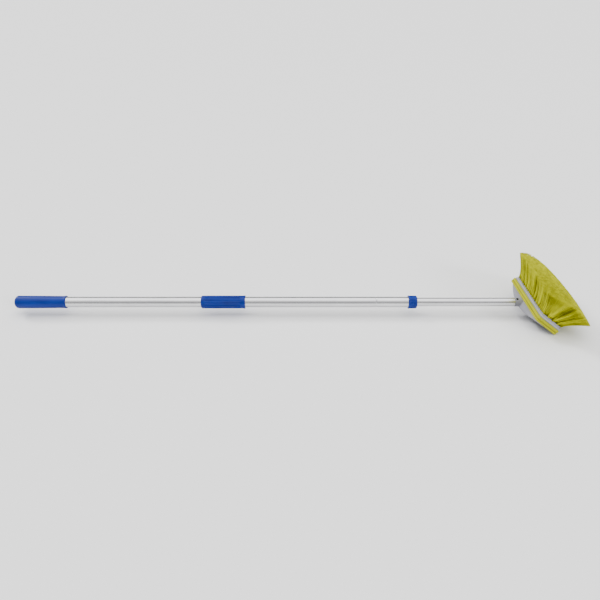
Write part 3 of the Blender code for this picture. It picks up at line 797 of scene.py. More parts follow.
@dataclass
class ButtGrip:
    """The closed sleeve on the pole's end."""

    line: PoleLine
    end_wall: float = 0.0045
    dome: float = 0.0095
    dome_steps: int = 16
    lip_length: float = 0.0042
    lip_height: float = 0.0004
    lip_shares: Shares = ((0.35, 0.8), (0.7, 0.4), (1.0, -0.8))
    taper_shares: Shares = ((0.92, 0.95), (0.80, 0.80), (0.62, 0.52), (0.42, 0.26), (0.24, 0.08))
    neck: float = 0.0006
    mouth_wall: float = 0.0019

    def build(self) -> bpy.types.Object:
        """Turn the sleeve with its domed end, slight swell and lipped mouth, and dress it.

        Returns:
            The sleeve.
        """
        low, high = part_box("butt_grip")
        wide = round_radius("butt_grip")
        bore = round_radius("outer_tube") + GAP
        mouth = bore + self.mouth_wall
        narrowing = wide - mouth + self.lip_height
        inner = [(low.x + self.end_wall, 0.0), (low.x + self.end_wall, bore), (high.x - self.neck, bore),
                 (high.x, bore + self.neck), (high.x - GAP, mouth)]
        lip = [(high.x - self.lip_length * along, mouth + self.lip_height * rise)
               for along, rise in self.lip_shares]
        body = [(low.x + (high.x - low.x) * along, wide - narrowing * fall) for along, fall in self.taper_shares]
        dome = arc((low.x + self.dome, 0.0), wide, 90.0, 180.0, self.dome_steps, self.dome / wide)
        sleeve = self.line.turned("butt_sleeve", [*inner, *lip, *body, *dome[:-1], (low.x, 0.0)], closed=False)
        return finish_piece(sleeve, BLUE_GRIP, Slot.BLUE, Body.OUTER, "butt_grip")


@dataclass
class MidGrip:
    """The fluted sleeve half way along the pole."""

    line: PoleLine
    flutes: int = 16
    facets_a_flute: int = 10
    flute_depth: float = 0.0014
    flute_start: float = 0.0075
    flute_end: float = 0.0095
    flute_lead: float = 0.0035
    half_lead_share: float = 0.6
    rounding: float = 0.0030
    rounding_steps: int = 8
    lip_length: float = 0.0052
    lip_height: float = 0.0005
    lip_shares: Shares = ((0.3, 0.0), (0.6, 0.3), (1.0, 1.0))

    def build(self) -> bpy.types.Object:
        """Turn the sleeve, press the flutes into it and dress it.

        Returns:
            The sleeve.
        """
        low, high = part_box("mid_grip")
        rim = round_radius("mid_grip")
        radius = rim - self.lip_height
        bore = round_radius("outer_tube") + GAP
        first, last, lead = low.x + self.flute_start, high.x - self.flute_end, self.flute_lead
        lip = [(high.x - self.lip_length * along, rim - self.lip_height * fall) for along, fall in self.lip_shares]
        rings = (last, last - lead / 2, last - lead, first + lead, first + lead / 2, first)
        rounding = arc((low.x + self.rounding, radius - self.rounding), self.rounding, 90.0, 180.0,
                       self.rounding_steps)
        outer = [(high.x - GAP, rim - GAP), *lip, *[(x, radius) for x in rings], *rounding]
        inner = [(low.x, bore + GAP), (low.x + GAP, bore), (high.x - GAP, bore), (high.x, bore + GAP)]
        sleeve = self.line.turned("mid_sleeve", outer + inner, steps=self.flutes * self.facets_a_flute)
        self.press(sleeve, radius, first, last)
        return finish_piece(tidy(sleeve), BLUE_GRIP, Slot.BLUE, Body.OUTER, "mid_grip")

    def press(self, sleeve: bpy.types.Object, radius: float, first: float, last: float) -> None:
        """Draw the columns of each flute inwards, less towards its edges and its ends.

        Args:
            sleeve: The turned sleeve.
            radius: Its outer radius.
            first: Where the flutes start.
            last: Where they end.
        """
        step = math.tau / self.flutes
        facet = step / self.facets_a_flute
        half = self.facets_a_flute // 2

        def between(x: float, inset: float) -> bool:
            """Whether a place along the pole lies on the flutes, less an inset at both ends."""
            return first + inset - GAP < x < last - inset + GAP

        for column in range(-half + 2, half - 1):
            depth = self.flute_depth * math.cos(math.pi / 2 * column / (half - 1))
            for floor, share in ((True, 1.0), (False, self.half_lead_share)):
                def inside(vert: bmesh.types.BMVert) -> bool:
                    """Whether a vertex is in this column, and on the flutes' floor or half way up their ends.

                    Args:
                        vert: The vertex.

                    Returns:
                        True where it is.
                    """
                    near = abs(self.line.off_middle(vert.co, step) - column * facet) < facet / 4
                    on_floor = between(vert.co.x, self.flute_lead)
                    there = on_floor if floor else between(vert.co.x, self.flute_lead / 2) and not on_floor
                    return near and there and self.line.radius(vert.co) > radius - GAP

                self.line.pinch(sleeve, 1.0 - depth * share / radius, inside)


@dataclass
class LockCollar:
    """The collar that clamps the inner tube, with two rows of small recesses for the fingers."""

    line: PoleLine
    recesses: int = 16
    facets_a_recess: int = 8
    recess_depth: float = 0.0010
    recess_share: float = 0.54
    band_start: float = 0.0042
    band_length: float = 0.0092
    slope: float = 0.0006
    lip_length: float = 0.0036
    lip_height: float = 0.0004
    lip_level: float = 0.6
    chamfer: float = 0.0030
    chamfer_knee: tuple[float, float] = (0.35, 0.28)
    nose: float = 0.0024
    edge: float = 0.0004

    def build(self) -> bpy.types.Object:
        """Turn the collar, press the recesses into its band and dress it.

        Returns:
            The collar.
        """
        low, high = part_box("lock_collar")
        rim = round_radius("lock_collar")
        radius = rim - self.lip_height
        cavity = round_radius("outer_tube") + GAP
        nose = round_radius("inner_tube") + GAP
        first, last = low.x + self.band_start, low.x + self.band_start + self.band_length
        middle, slope = (first + last) / 2, self.slope
        rows = (first, first + slope, middle - 2 * slope, middle - slope, middle + slope, middle + 2 * slope,
                last - slope, last)
        in_by, down_by = (self.chamfer * share for share in self.chamfer_knee)
        outer = [(high.x, radius - self.chamfer), (high.x - in_by, radius - down_by),
                 (high.x - self.chamfer, radius), *[(x, radius) for x in reversed(rows)],
                 (low.x + self.lip_length, radius), (low.x + self.lip_length * self.lip_level, rim), (low.x, rim)]
        inner = [(low.x, cavity), (high.x - self.nose, cavity), (high.x - self.nose, nose), (high.x, nose)]
        collar = self.line.turned("lock_collar_moulded", outer + inner, steps=self.recesses * self.facets_a_recess)
        step = math.tau / self.recesses

        def pressed(vert: bmesh.types.BMVert) -> bool:
            """Whether a vertex lies on the floor of a recess, in either of their two rows.

            Args:
                vert: The vertex.

            Returns:
                True where it does.
            """
            aside = abs(self.line.off_middle(vert.co, step))
            sunk = any(near - GAP / 3 < vert.co.x < far + GAP / 3
                       for near, far in ((rows[1], rows[2]), (rows[-3], rows[-2])))
            return sunk and aside < step * self.recess_share / 2 and self.line.radius(vert.co) > radius - GAP

        self.line.pinch(collar, 1.0 - self.recess_depth / radius, pressed)
        soften(collar, self.edge, steps=2, sharper_than=40.0)
        return finish_piece(tidy(collar), BLUE_GRIP, Slot.BLUE, Body.COLLAR, "lock_collar")


@dataclass
class Pole:
    """The two tubes, the grips and the lock collar."""

    line: PoleLine
    stop_inset: float = 0.0850
    stop_width: float = 0.0036
    stop_depth: float = 0.00085
    mark_gap: float = 0.0085
    mark_width: float = 0.0030
    mark_depth: float = 0.0003

    def grooves(self) -> list[RolledGroove]:
        """The grooves in the wide tube.

        Returns:
            The stop near its mouth, and the shallow mark beside the mid grip.
        """
        stop_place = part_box("outer_tube")[1].x - self.stop_inset
        mark_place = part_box("mid_grip")[1].x + self.mark_gap
        return [RolledGroove(stop_place, self.stop_width, self.stop_depth, through=True),
                RolledGroove(mark_place, self.mark_width, self.mark_depth, through=False)]

    def build(self) -> None:
        """Build its pieces."""
        Tube("outer_tube", Body.OUTER, self.line, grooves=self.grooves()).build()
        ButtGrip(self.line).build()
        MidGrip(self.line).build()
        LockCollar(self.line).build()
        Tube("inner_tube", Body.INNER, self.line).build()


# The head


def unit(ways: np.ndarray) -> np.ndarray:
    """Vectors of length one that point the same ways, one a row."""
    return ways / np.linalg.norm(ways, axis=-1, keepdims=True)


def points_and_faces(piece: bpy.types.Object) -> tuple[np.ndarray, Faces]:
    """A piece's points and the corners of its faces."""
    return (np.array([vert.co for vert in piece.data.vertices]),
            [tuple(face.vertices) for face in piece.data.polygons])


def mesh_of_copies(name: str, copies: np.ndarray, faces: Faces) -> bpy.types.Mesh:
    """One mesh of many copies of a shape.

    Args:
        name: Its name.
        copies: The points of every copy: one copy a row, each with its points' three coordinates.
        faces: The corners of one copy's faces.

    Returns:
        The mesh.
    """
    count, size = copies.shape[:2]
    corners = [tuple(corner + size * index for corner in face) for index in range(count) for face in faces]
    mesh = bpy.data.meshes.new(name)
    mesh.from_pydata(copies.reshape(-1, 3).tolist(), [], corners)
    return mesh


@dataclass(frozen=True)
class HeadFrame:
    """Where the head stands on the pole, and how it is turned."""

    line: PoleLine
    reach: float = 0.0303
    angle_degrees: float = 52.0

    def origin(self) -> Vector:
        """Where the head's own frame starts.

        Returns:
            The point in the plane of the block's back where the pole's axis meets it, half way along it.
        """
        low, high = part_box("bumper")
        spot = self.line.point(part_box("inner_tube")[1].x + self.reach)
        spot.y = (low.y + high.y) / 2
        return spot

    def matrix(self) -> Matrix:
        """From the head's own frame to the brush's."""
        return Matrix.Translation(self.origin()) @ Matrix.Rotation(math.radians(90.0 - self.angle_degrees), 4, "Y")

    def seat(self, piece: bpy.types.Object) -> bpy.types.Object:
        """Move a piece that was modelled upright in the head's frame to its place, and settle it there."""
        piece.matrix_world = self.matrix()
        return settle(piece)


def rounded_plate(name: str, size: Triple, low: float, high: float, middle: float, steps: int = 10
                  ) -> bpy.types.Object:
    """A plate in the head's frame with rounded upright corners.

    Args:
        name: Its name.
        size: Its length along the block, its width across it, and the radius of its corners.
        low: The height of its lower face.
        high: The height of its upper face.
        middle: Where its middle lies across the block.
        steps: The facets of a corner.

    Returns:
        The plate.
    """
    length, width, corner = size
    deselect_all()
    bpy.ops.mesh.primitive_cube_add(size=1.0, location=(middle, 0.0, (low + high) / 2),
                                    scale=(width, length, high - low))
    piece = bpy.context.object
    piece.name = piece.data.name = name
    settle(piece)
    bevel(piece, lambda edge: abs(edge.verts[0].co.z - edge.verts[1].co.z) > (high - low) / 2, corner, steps)
    return piece


def round_rims(piece: bpy.types.Object, heights: Sequence[float], width: float, steps: int) -> None:
    """Round the edges that lie level round a plate.

    Args:
        piece: The plate.
        heights: The heights of those edges.
        width: The rounding's width.
        steps: Its facets.
    """

    def on_rim(edge: bmesh.types.BMEdge) -> bool:
        """Whether both ends of an edge lie at one of the heights."""
        return any(all(abs(vert.co.z - height) < MERGE for vert in edge.verts) for height in heights)

    bevel(piece, on_rim, width, steps)


def cross_cut(piece: bpy.types.Object, height: float) -> None:
    """Cut a level line round a piece without parting it.

    Args:
        piece: The piece, upright in the head's frame.
        height: The line's height.
    """
    edit(piece, Pick.FACE)
    bpy.ops.mesh.bisect(plane_co=(0.0, 0.0, height), plane_no=(0.0, 0.0, 1.0))
    leave()


@dataclass
class Bumper:
    """The soft band round the block's back edge."""

    head: HeadFrame
    length: float = 0.1820
    width: float = 0.0700
    thickness: float = 0.0130
    wall: float = 0.0040
    corner: float = 0.0080
    corner_steps: int = 14
    rounding: float = 0.0033
    rounding_steps: int = 7
    middle: float = 0.0165
    groove_place: float = 0.0060
    groove_width: float = 0.0034
    groove_depth: float = 0.0011
    # painted shade: a darker olive stripe along the middle of the groove
    crease_shade_share: float = 0.7
    crease_shade_colour: Colour = (0.22, 0.21, 0.0)

    def size_within(self, inset: float) -> Triple:
        """The length, width and corner radius of a plate that lies inside the band's outline by an inset."""
        return self.length - 2 * inset, self.width - 2 * inset, self.corner - inset

    def build(self) -> bpy.types.Object:
        """Shape the band from a plate, hollow it, crease it lengthwise and dress it.

        Returns:
            The band.
        """
        band = rounded_plate("soft_band", self.size_within(0.0), 0.0, self.thickness, self.middle,
                             self.corner_steps)
        round_rims(band, (0.0, self.thickness), self.rounding, self.rounding_steps)
        for side in (-0.5, 0.0, 0.5):
            cross_cut(band, self.groove_place + side * self.groove_width)
        edit(band, Pick.VERT, lambda vert: abs(vert.co.z - self.groove_place) < MERGE)
        bpy.ops.transform.shrink_fatten(value=-self.groove_depth)
        edit(band, Pick.FACE, lambda face: abs(face.normal.z) > LEVEL and len(face.verts) > self.corner_steps)
        bpy.ops.mesh.inset(thickness=self.wall - self.rounding)
        bpy.ops.mesh.delete(type="FACE")
        edit(band, Pick.EDGE, lambda edge: edge.is_boundary)
        bpy.ops.mesh.bridge_edge_loops()
        leave()
        self.head.seat(tidy(band))
        # painted shade laid along the groove's middle
        crease = PaintedLightLine(self.head.matrix(), self.groove_place, self.groove_width * self.crease_shade_share,
                            self.crease_shade_colour)
        rubber = MouldedPlastic("soft_yellow_band", (0.40, 0.405, 0.0), (0.50, 0.505, 0.0), grain=900.0,
                                grain_depth=0.00006, flow=(9.0, 5.0, 9.0), roughness=(0.48, 0.62), gloss=0.12,
                                painted_light_lines=(crease,))
        return finish_piece(band, rubber.make(), Slot.BUMPER, Body.INNER, "bumper")


@dataclass
class BrushBlock:
    """The grey moulding: a stepped block, an arched hub on its back and a slanted socket."""

    head: HeadFrame
    bumper: Bumper
    rim_inset: float = 0.0024
    rim_thickness: float = 0.0084
    rim_rounding: float = 0.0016
    rim_steps: int = 5
    step_height: float = 0.0022
    step_inset: float = 0.0015
    step_facets: int = 3
    # painted highlight: a pale line along the step's rounded edge, where light would catch it
    painted_highlight_share: float = 0.6
    painted_highlight_colour: Colour = (0.70, 0.70, 0.72)
    hub_inset: float = 0.0110
    hub_height: float = 0.0180
    hub_width: float = 0.0380
    hub_points: int = 64
    hub_rounding: float = 0.0030
    hub_steps: int = 5
    socket_diameter: float = 0.0208
    socket_reach: float = 0.0300
    socket_bore: float = 0.0160
    socket_bore_depth: float = 0.0330
    socket_edge: float = 0.0007
    hole_diameter: float = 0.0058
    hole_chamfer: float = 0.0009
    hole_rim: Shares = ((0.0, -0.8), (2.0, 1.2))

    @property
    def thickness(self) -> float:
        """The height of the block's front face."""
        return self.bumper.thickness + GAP + self.rim_thickness

    @property
    def rim_size(self) -> Triple:
        """The rim's length, width and corner radius."""
        return self.bumper.size_within(self.rim_inset)

    def core(self, name: str, low: float, high: float, grow: float = 0.0) -> bpy.types.Object:
        """The plate inside the bumper, from one height to another."""
        size = self.bumper.size_within(self.bumper.wall + GAP - grow)
        return rounded_plate(name, size, low, high, self.bumper.middle)

    def hub(self) -> bpy.types.Object:
        """The arched rib along the block's back, softly edged.

        Returns:
            The rib, in the head's frame.
        """
        half = self.bumper.length / 2 - self.hub_inset
        radius = (half ** 2 + self.hub_height ** 2) / (2 * self.hub_height)
        reach = math.asin(half / radius)
        side = self.bumper.middle - self.bumper.width / 2 + self.bumper.wall + 2 * GAP
        outline = [Vector((side, half, OVERRUN))]
        for index in range(self.hub_points + 1):
            angle = reach * (1.0 - 2.0 * index / self.hub_points)
            outline.append(Vector((side, radius * math.sin(angle),
                                   radius * (1.0 - math.cos(angle)) - self.hub_height)))
        outline.append(Vector((side, -half, OVERRUN)))
        rib = drawn_chain("arched_hub", outline, closed=True)
        bpy.ops.mesh.edge_face_add()
        extrude((self.hub_width, 0.0, 0.0))
        leave()
        return soften(tidy(rib), self.hub_rounding, self.hub_steps, sharper_than=50.0)

    def socket(self) -> bpy.types.Object:
        """Turn the round socket that leaves the block at a slant.

        Returns:
            The socket as a solid, in the pole's frame.
        """
        end = self.head.origin().x
        mouth = end - self.socket_reach
        radius = self.socket_diameter / 2
        return self.head.line.turned("slanted_socket", [
            (end, 0.0), (end, radius), (mouth + self.socket_edge, radius), (mouth, radius - self.socket_edge),
            (mouth, 0.0)], closed=False)

    def bore(self) -> bpy.types.Object:
        """Turn what is cut from the socket to take the spigot.

        Returns:
            The cutter, in the pole's frame.
        """
        mouth = self.head.origin().x - self.socket_reach
        radius = self.socket_bore / 2
        return self.head.line.turned("socket_bore", [
            (mouth + self.socket_bore_depth, 0.0), (mouth + self.socket_bore_depth, radius),
            (mouth + OVERRUN / 2, radius), (mouth - OVERRUN, radius + OVERRUN), (mouth - OVERRUN, 0.0)],
            closed=False)

    def button_hole(self, button: "SnapButton") -> bpy.types.Object:
        """What is cut from the socket's wall for the button, with a chamfered rim.

        Args:
            button: The button, whose axis the hole shares.

        Returns:
            The cutter.
        """
        hole, top = self.hole_diameter / 2, self.socket_diameter / 2
        chamfer = [(hole + self.hole_chamfer * out, top + self.hole_chamfer * up) for out, up in self.hole_rim]
        return button.turned("button_hole", [(0.0, 0.0), (hole, 0.0), *chamfer, (0.0, top + OVERRUN)])

    def stepped_plate(self, step: float) -> bpy.types.Object:
        """The block's front plate, drawn in a little over a step round its edge.

        Args:
            step: The step's height.

        Returns:
            The plate, in the head's frame.
        """
        length, width, _ = self.rim_size
        plate = rounded_plate("head_moulding", self.rim_size, self.bumper.thickness + GAP, self.thickness,
                              self.bumper.middle)
        over = step + self.step_inset
        cross_cut(plate, step)
        cross_cut(plate, over)
        shares = (1.0 - 2 * self.step_inset / width, 1.0 - 2 * self.step_inset / length, 1.0)
        edit(plate, Pick.VERT, lambda vert: vert.co.z > over - MERGE)
        bpy.ops.transform.resize(value=shares, center_override=(self.bumper.middle, 0.0, 0.0))
        leave()
        round_rims(plate, (self.thickness,), self.rim_rounding, self.rim_steps)
        round_rims(plate, (step,), self.step_inset / 2, self.step_facets)
        return plate

    def bumper_room(self) -> bpy.types.Object:
        """Make the ring of space that the bumper needs.

        Returns:
            The cutter, in the head's frame.
        """
        bumper, wider = self.bumper, self.socket_diameter
        size = (bumper.length + wider, bumper.width + wider, bumper.corner)
        room = rounded_plate("bumper_room", size, -GAP, bumper.thickness + GAP / 2, bumper.middle)
        return combine(room, self.core("bumper_room_core", -OVERRUN, self.thickness, GAP / 10), Blend.CUT)

    def build(self, button: "SnapButton", roots: bpy.types.Object) -> bpy.types.Object:
        """Join the block, hub and socket, cut the bore and the holes, and dress the moulding.

        Args:
            button: The button in the socket.
            roots: The cutter for the tufts' holes, in the head's frame.

        Returns:
            The moulding.
        """
        step = self.bumper.thickness + GAP + self.step_height
        block = self.stepped_plate(step)
        combine(block, self.core("block_core", 0.0, self.thickness - self.rim_thickness / 2), Blend.ADD)
        combine(block, self.hub(), Blend.ADD)
        combine(block, roots, Blend.CUT)
        self.head.seat(block)
        combine(block, self.socket(), Blend.ADD)
        combine(block, self.head.seat(self.bumper_room()), Blend.CUT)
        combine(block, self.bore(), Blend.CUT)
        combine(block, self.button_hole(button), Blend.CUT)
        # painted highlight along the step's edge, standing in for light caught by the ledge
        edge = PaintedLightLine(self.head.matrix(), step + self.step_inset / 2, self.step_inset * self.painted_highlight_share,
                          self.painted_highlight_colour)
        grey = MouldedPlastic("grey_block_moulding", GREY, GREY_FLOW, flow=(20.0, 8.0, 20.0),
                              roughness=(0.40, 0.55), painted_light_lines=(edge,))
        return finish_piece(tidy(block), grey.make(), Slot.GREY, Body.INNER, "brush_block")


@dataclass
class SnapButton:
    """The press button that locks the head on the pole."""

    line: PoleLine
    stem_diameter: float = 0.0052
    crown: float = 0.0113
    dome: float = 0.0009
    dome_steps: int = 8
    sides: int = 48
    flange_diameter: float = 0.0074
    flange_top: float = 0.00335
    flange_thickness: float = 0.0012

    def axis(self) -> Vector:
        """The way out of the socket, square to the pole."""
        joint = next(joint for joint in frame["joints"] if joint["name"] == "button_press")
        return -Vector(joint["axis"]).normalized()

    def foot(self) -> Vector:
        """Where the button's axis meets the pole's."""
        low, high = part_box("snap_button")
        return self.line.point((low.x + high.x) / 2)

    def turned(self, name: str, profile: Profile) -> bpy.types.Object:
        """Turn a profile of radii and heights about the button's axis.

        Args:
            name: The new piece's name.
            profile: Radii and heights over the pole's axis, starting and ending on the button's own.

        Returns:
            The turned piece.
        """
        foot, out = self.foot(), self.axis()
        points = [foot + Vector((radius, 0.0, 0.0)) + out * height for radius, height in profile]
        piece = drawn_chain(name, points, closed=False)
        bpy.ops.mesh.spin(steps=self.sides, angle=math.tau, center=foot, axis=out)
        leave()
        return tidy(piece)

    def build(self) -> bpy.types.Object:
        """Turn the button with its flange and domed crown, and dress it.

        Returns:
            The button.
        """
        stem, flange = self.stem_diameter / 2, self.flange_diameter / 2
        under = self.flange_top - self.flange_thickness
        dome = []
        for index in range(self.dome_steps + 1):
            angle = math.radians(90.0 * index / self.dome_steps)
            dome.append((stem * math.sin(angle), self.crown - self.dome * (1.0 - math.cos(angle))))
        profile = [*dome, (stem, self.flange_top), (flange, self.flange_top), (flange, under), (0.0, under)]
        button = self.turned("press_button", profile)
        return finish_piece(button, BLACK_BUTTON, Slot.BLACK, Body.BUTTON, "snap_button")


@dataclass
class LeafSpring:
    """The strip of spring steel under the button, bent double. The real strip flattens as the button goes in; this
    one is built only in its bent shape.
    """

    button: SnapButton
    upper: float = 0.00163
    lower: float = -0.00416
    leg_end: float = 0.0026
    reach: float = 0.0200
    width: float = 0.0046
    thickness: float = 0.0004
    rim: float = 0.00008
    bend_degrees: tuple[float, float] = (60.0, 270.0)
    bend_steps: int = 16
    pressed_share: float = 0.44

    def build(self) -> bpy.types.Object:
        """Draw the bent line, widen and thicken it to a strip, and dress it.

        Returns:
            The spring.
        """
        foot, out = self.button.foot(), self.button.axis()
        along = Vector((1.0, 0.0, 0.0))
        aside = out.cross(along)
        radius = (self.upper - self.lower) / 4
        bend = arc((-self.reach, self.lower + radius), radius, *self.bend_degrees, self.bend_steps)
        bent = [(self.leg_end, self.upper), (-self.leg_end, self.upper), *bend, (self.leg_end, self.lower)]
        start = foot - aside * self.width / 2
        points = [start + along * place + out * height for place, height in bent]
        strip = drawn_chain("bent_leaf", points, closed=False)
        extrude(aside * self.width)
        leave()
        modify(strip, "SOLIDIFY", thickness=self.thickness, offset=0.0, use_even_offset=True)
        soften(strip, self.rim, steps=2, sharper_than=60.0)
        finish_piece(tidy(strip), SPRING_STEEL, Slot.STEEL, Body.INNER, "button_spring")
        lowest = foot + out * (self.lower - self.thickness / 2)
        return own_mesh(strip)


@dataclass
class BristleField:
    """Tufts of splayed fibre in drilled rows, trimmed to one smooth surface.

    A place on the field is given by its shares across and along it, each from -1 to 1.
    """

    head: HeadFrame
    block: BrushBlock
    groups: tuple[str, ...] = ("far_end", "far", "middle", "near", "near_end")
    rows: int = 9
    columns: int = 19
    margin: float = 0.0046
    corner_pull: float = 0.035
    corner_fade: int = 4
    hole_diameter: float = 0.0056
    hole_depth: float = 0.0060
    hole_sides: int = 12
    rooted_share: float = 0.8
    locks: int = 7
    lock_places: tuple[float, float] = (0.80, 1.0)
    lock_size: float = 0.31
    fibres_a_lock: int = 25
    packed: float = 0.92
    overlap: float = 1.55
    fibre_root: float = 0.00048
    fibre_tip: float = 0.00044
    fibre_rings: int = 4
    length: float = 0.0607
    lean_pole_side: float = 1.03
    lean_far_side: float = 0.55
    near_droop: float = 0.26
    lean_near_end: float = 0.445
    lean_far_end: float = 0.365
    roundness: float = 0.88
    crown: float = 0.012
    far_lift: float = 0.065
    far_lift_place: float = -0.58
    far_lift_width: float = 0.30
    far_lift_fade: int = 5
    early_share: float = 0.72
    bend_place: float = 0.40
    stray: float = 0.0004
    uneven: float = 0.010
    uneven_span: tuple[float, float] = (-1.0, 0.4)
    lock_uneven: float = 0.012
    tint: float = 0.62
    tint_spread: float = 0.12
    lock_tint_spread: float = 0.32
    tuft_tint_spread: float = 0.08
    seed: int = 11

    @property
    def fibres_a_tuft(self) -> int:
        """The number of fibres in one hole."""
        return self.locks * self.fibres_a_lock

    def tufts(self) -> np.ndarray:
        """Lay the tufts out in rows, every second row staggered.

        Returns:
            Their shares across and along the field, one a row.
        """
        found = []
        for row in range(self.rows):
            across = 2.0 * row / (self.rows - 1) - 1.0
            stagger = row % 2 / 2
            for column in range(self.columns):
                along = 2.0 * (column + stagger) / (self.columns - 1 / 2) - 1.0
                found.append((across, along))
        return np.array(found)

    def on_front(self, shares: np.ndarray) -> np.ndarray:
        """Places on the block's front face, in the head's frame; those at the corners stand a little inside.

        Args:
            shares: Their shares across and along, one a row.

        Returns:
            The places, one a row.
        """
        length, width, _ = self.block.rim_size
        half = np.array([width / 2 - self.margin, length / 2 - self.margin])
        pull = 1.0 - self.corner_pull * (shares[:, 0] * shares[:, 1]) ** self.corner_fade
        flat = shares * half * pull[:, None]
        height = np.full(len(shares), self.block.thickness)
        return np.stack([self.block.bumper.middle + flat[:, 0], flat[:, 1], height], axis=-1)

    def holes(self) -> bpy.types.Object:
        """The cutter for the tufts' holes, in the head's frame: one drilled hole, copied.

        Returns:
            The cutter.
        """
        deselect_all()
        bpy.ops.mesh.primitive_cylinder_add(vertices=self.hole_sides, radius=self.hole_diameter / 2,
                                            depth=self.hole_depth + OVERRUN, location=(0.0, 0.0, 0.0))
        drill = bpy.context.object
        points, faces = points_and_faces(drill)
        places = self.on_front(self.tufts()) + (0.0, 0.0, (OVERRUN - self.hole_depth) / 2)
        drill.data = mesh_of_copies("tuft_holes", points + places[:, None], faces)
        drill.name = "tuft_holes"
        return drill

    def fibre(self) -> tuple[np.ndarray, Faces]:
        """One fibre of unit length and radius, modelled by extruding a triangle to a blunt tip.

        Returns:
            Its points and its faces.
        """
        deselect_all()
        bpy.ops.mesh.primitive_circle_add(vertices=3, radius=1.0, fill_type="NGON", location=(0.0, 0.0, 0.0))
        strand = bpy.context.object
        edit(strand, Pick.FACE)
        for _ in range(self.fibre_rings):
            extrude((0.0, 0.0, 1.0 / self.fibre_rings))
        bpy.ops.mesh.select_all(action="SELECT")
        bpy.ops.mesh.normals_make_consistent(inside=False)
        leave()
        found = points_and_faces(strand)
        bpy.data.objects.remove(strand, do_unlink=True)
        return found

    def ways(self, shares: np.ndarray) -> np.ndarray:
        """How each fibre's tip lies from its root, for a length of one, in the head's frame.

        Args:
            shares: The fibres' shares across and along, one a row.

        Returns:
            Vectors, one a row: of length one for a round trim, longer towards the corners for a flatter one.
        """
        across, along = shares.T
        droop = self.near_droop * np.clip(-along, 0.0, 1.0) ** 2
        lean_across = np.where(across < 0.0, self.lean_pole_side, self.lean_far_side + droop) * across
        lean_along = np.where(along < 0.0, self.lean_near_end, self.lean_far_end) * along
        found = np.stack([lean_across, lean_along, np.ones_like(across)], axis=-1)
        return found / np.linalg.norm(found, axis=-1, keepdims=True) ** self.roundness

    def trim(self, shares: np.ndarray) -> np.ndarray:
        """How much longer or shorter the fibres are cut: a low crown and a lift at the far end.

        Args:
            shares: The fibres' shares across and along, one a row.

        Returns:
            What each length is multiplied by, one a row.
        """
        across, along = shares.T
        crown = 1.0 + self.crown * (2.0 - across ** 2 - along ** 2)
        aside = np.exp(-((across - self.far_lift_place) / self.far_lift_width) ** 2)
        return (crown + self.far_lift * (aside * np.clip(along, 0.0, 1.0) ** self.far_lift_fade))[:, None]

    def scatter(self, rng: np.random.Generator, tufts: int) -> np.ndarray:
        """Where the fibres lie in their tufts' round holes, gathered in locks.

        Args:
            rng: The source of chance.
            tufts: The number of tufts.

        Returns:
            Each fibre's place, in a disc of radius one.
        """
        step = np.tile(np.arange(self.locks), tufts)
        turn = step * GOLDEN_ANGLE + np.repeat(rng.uniform(0.0, math.tau, tufts), self.locks)
        out = np.sqrt((step + 0.5) / self.locks) * rng.uniform(*self.lock_places, len(step))
        locks = np.stack([np.cos(turn), np.sin(turn)], axis=-1) * out[:, None]
        turn = rng.uniform(0.0, math.tau, len(step) * self.fibres_a_lock)
        out = np.sqrt(rng.uniform(0.0, 1.0, len(turn))) * self.lock_size
        return (np.repeat(locks, self.fibres_a_lock, axis=0)
                + np.stack([np.cos(turn), np.sin(turn)], axis=-1) * out[:, None])

    def ends(self, rng: np.random.Generator, tufts: np.ndarray) -> tuple[np.ndarray, np.ndarray]:
        """Where the fibres of some tufts are rooted, and where they are trimmed.

        Args:
            rng: The source of chance.
            tufts: The tufts' shares, one a row.

        Returns:
            The fibres' roots and tips, in the head's frame, one a row.
        """
        number = len(tufts) * self.fibres_a_tuft
        spot = self.scatter(rng, len(tufts))
        tuft = np.repeat(tufts, self.fibres_a_tuft, axis=0)
        root = self.on_front(tuft)
        root[:, :2] += spot * self.packed * self.hole_diameter / 2
        root[:, 2] -= self.hole_depth * self.rooted_share
        cell = np.array([1.0 / (self.rows - 1), 1.0 / (self.columns - 0.5)]) * self.overlap
        place = tuft + spot * cell
        folded = np.sign(place) * (2.0 - np.abs(place))
        place = np.where(np.abs(place) > 1.0, folded, place)
        reach = self.length * (1.0 + self.uneven * rng.uniform(*self.uneven_span, (number, 1)))
        shorter = rng.uniform(0.0, self.lock_uneven, (len(tufts) * self.locks, 1))
        reach -= self.length * np.repeat(shorter, self.fibres_a_lock, axis=0)
        tip = self.ways(place) * (reach * self.trim(place)) + self.on_front(place)
        return root, tip + rng.normal(0.0, self.stray, (number, 3))

    def strands(self, rng: np.random.Generator, root: np.ndarray, tip: np.ndarray, points: np.ndarray
                ) -> np.ndarray:
        """Lay a copy of the fibre from each root to its tip, nearly upright at first and then bent over.

        Args:
            rng: The source of chance.
            root: The fibres' roots, one a row.
            tip: Their tips.
            points: One straight fibre's points.

        Returns:
            The points of every copy.
        """
        length = np.linalg.norm(tip - root, axis=-1, keepdims=True)
        early = unit(tip - root) * self.early_share + (0.0, 0.0, 1.0 - self.early_share)
        middle = root + unit(early) * length * self.bend_place
        way = unit(tip - middle)
        side = unit(np.cross(way, (0.0, 1.0, 0.0)))
        spin = rng.uniform(0.0, math.tau, (len(tip), 1))
        first = side * np.cos(spin) + np.cross(way, side) * np.sin(spin)
        second = np.cross(way, first)
        share = points[:, 2:]
        path = ((1.0 - share) ** 2 * root[:, None] + 2.0 * share * (1.0 - share) * middle[:, None]
                + share ** 2 * tip[:, None])
        flat = points[:, :2] * (self.fibre_root + (self.fibre_tip - self.fibre_root) * share) / 2
        return path + flat[:, :1] * first[:, None] + flat[:, 1:] * second[:, None]

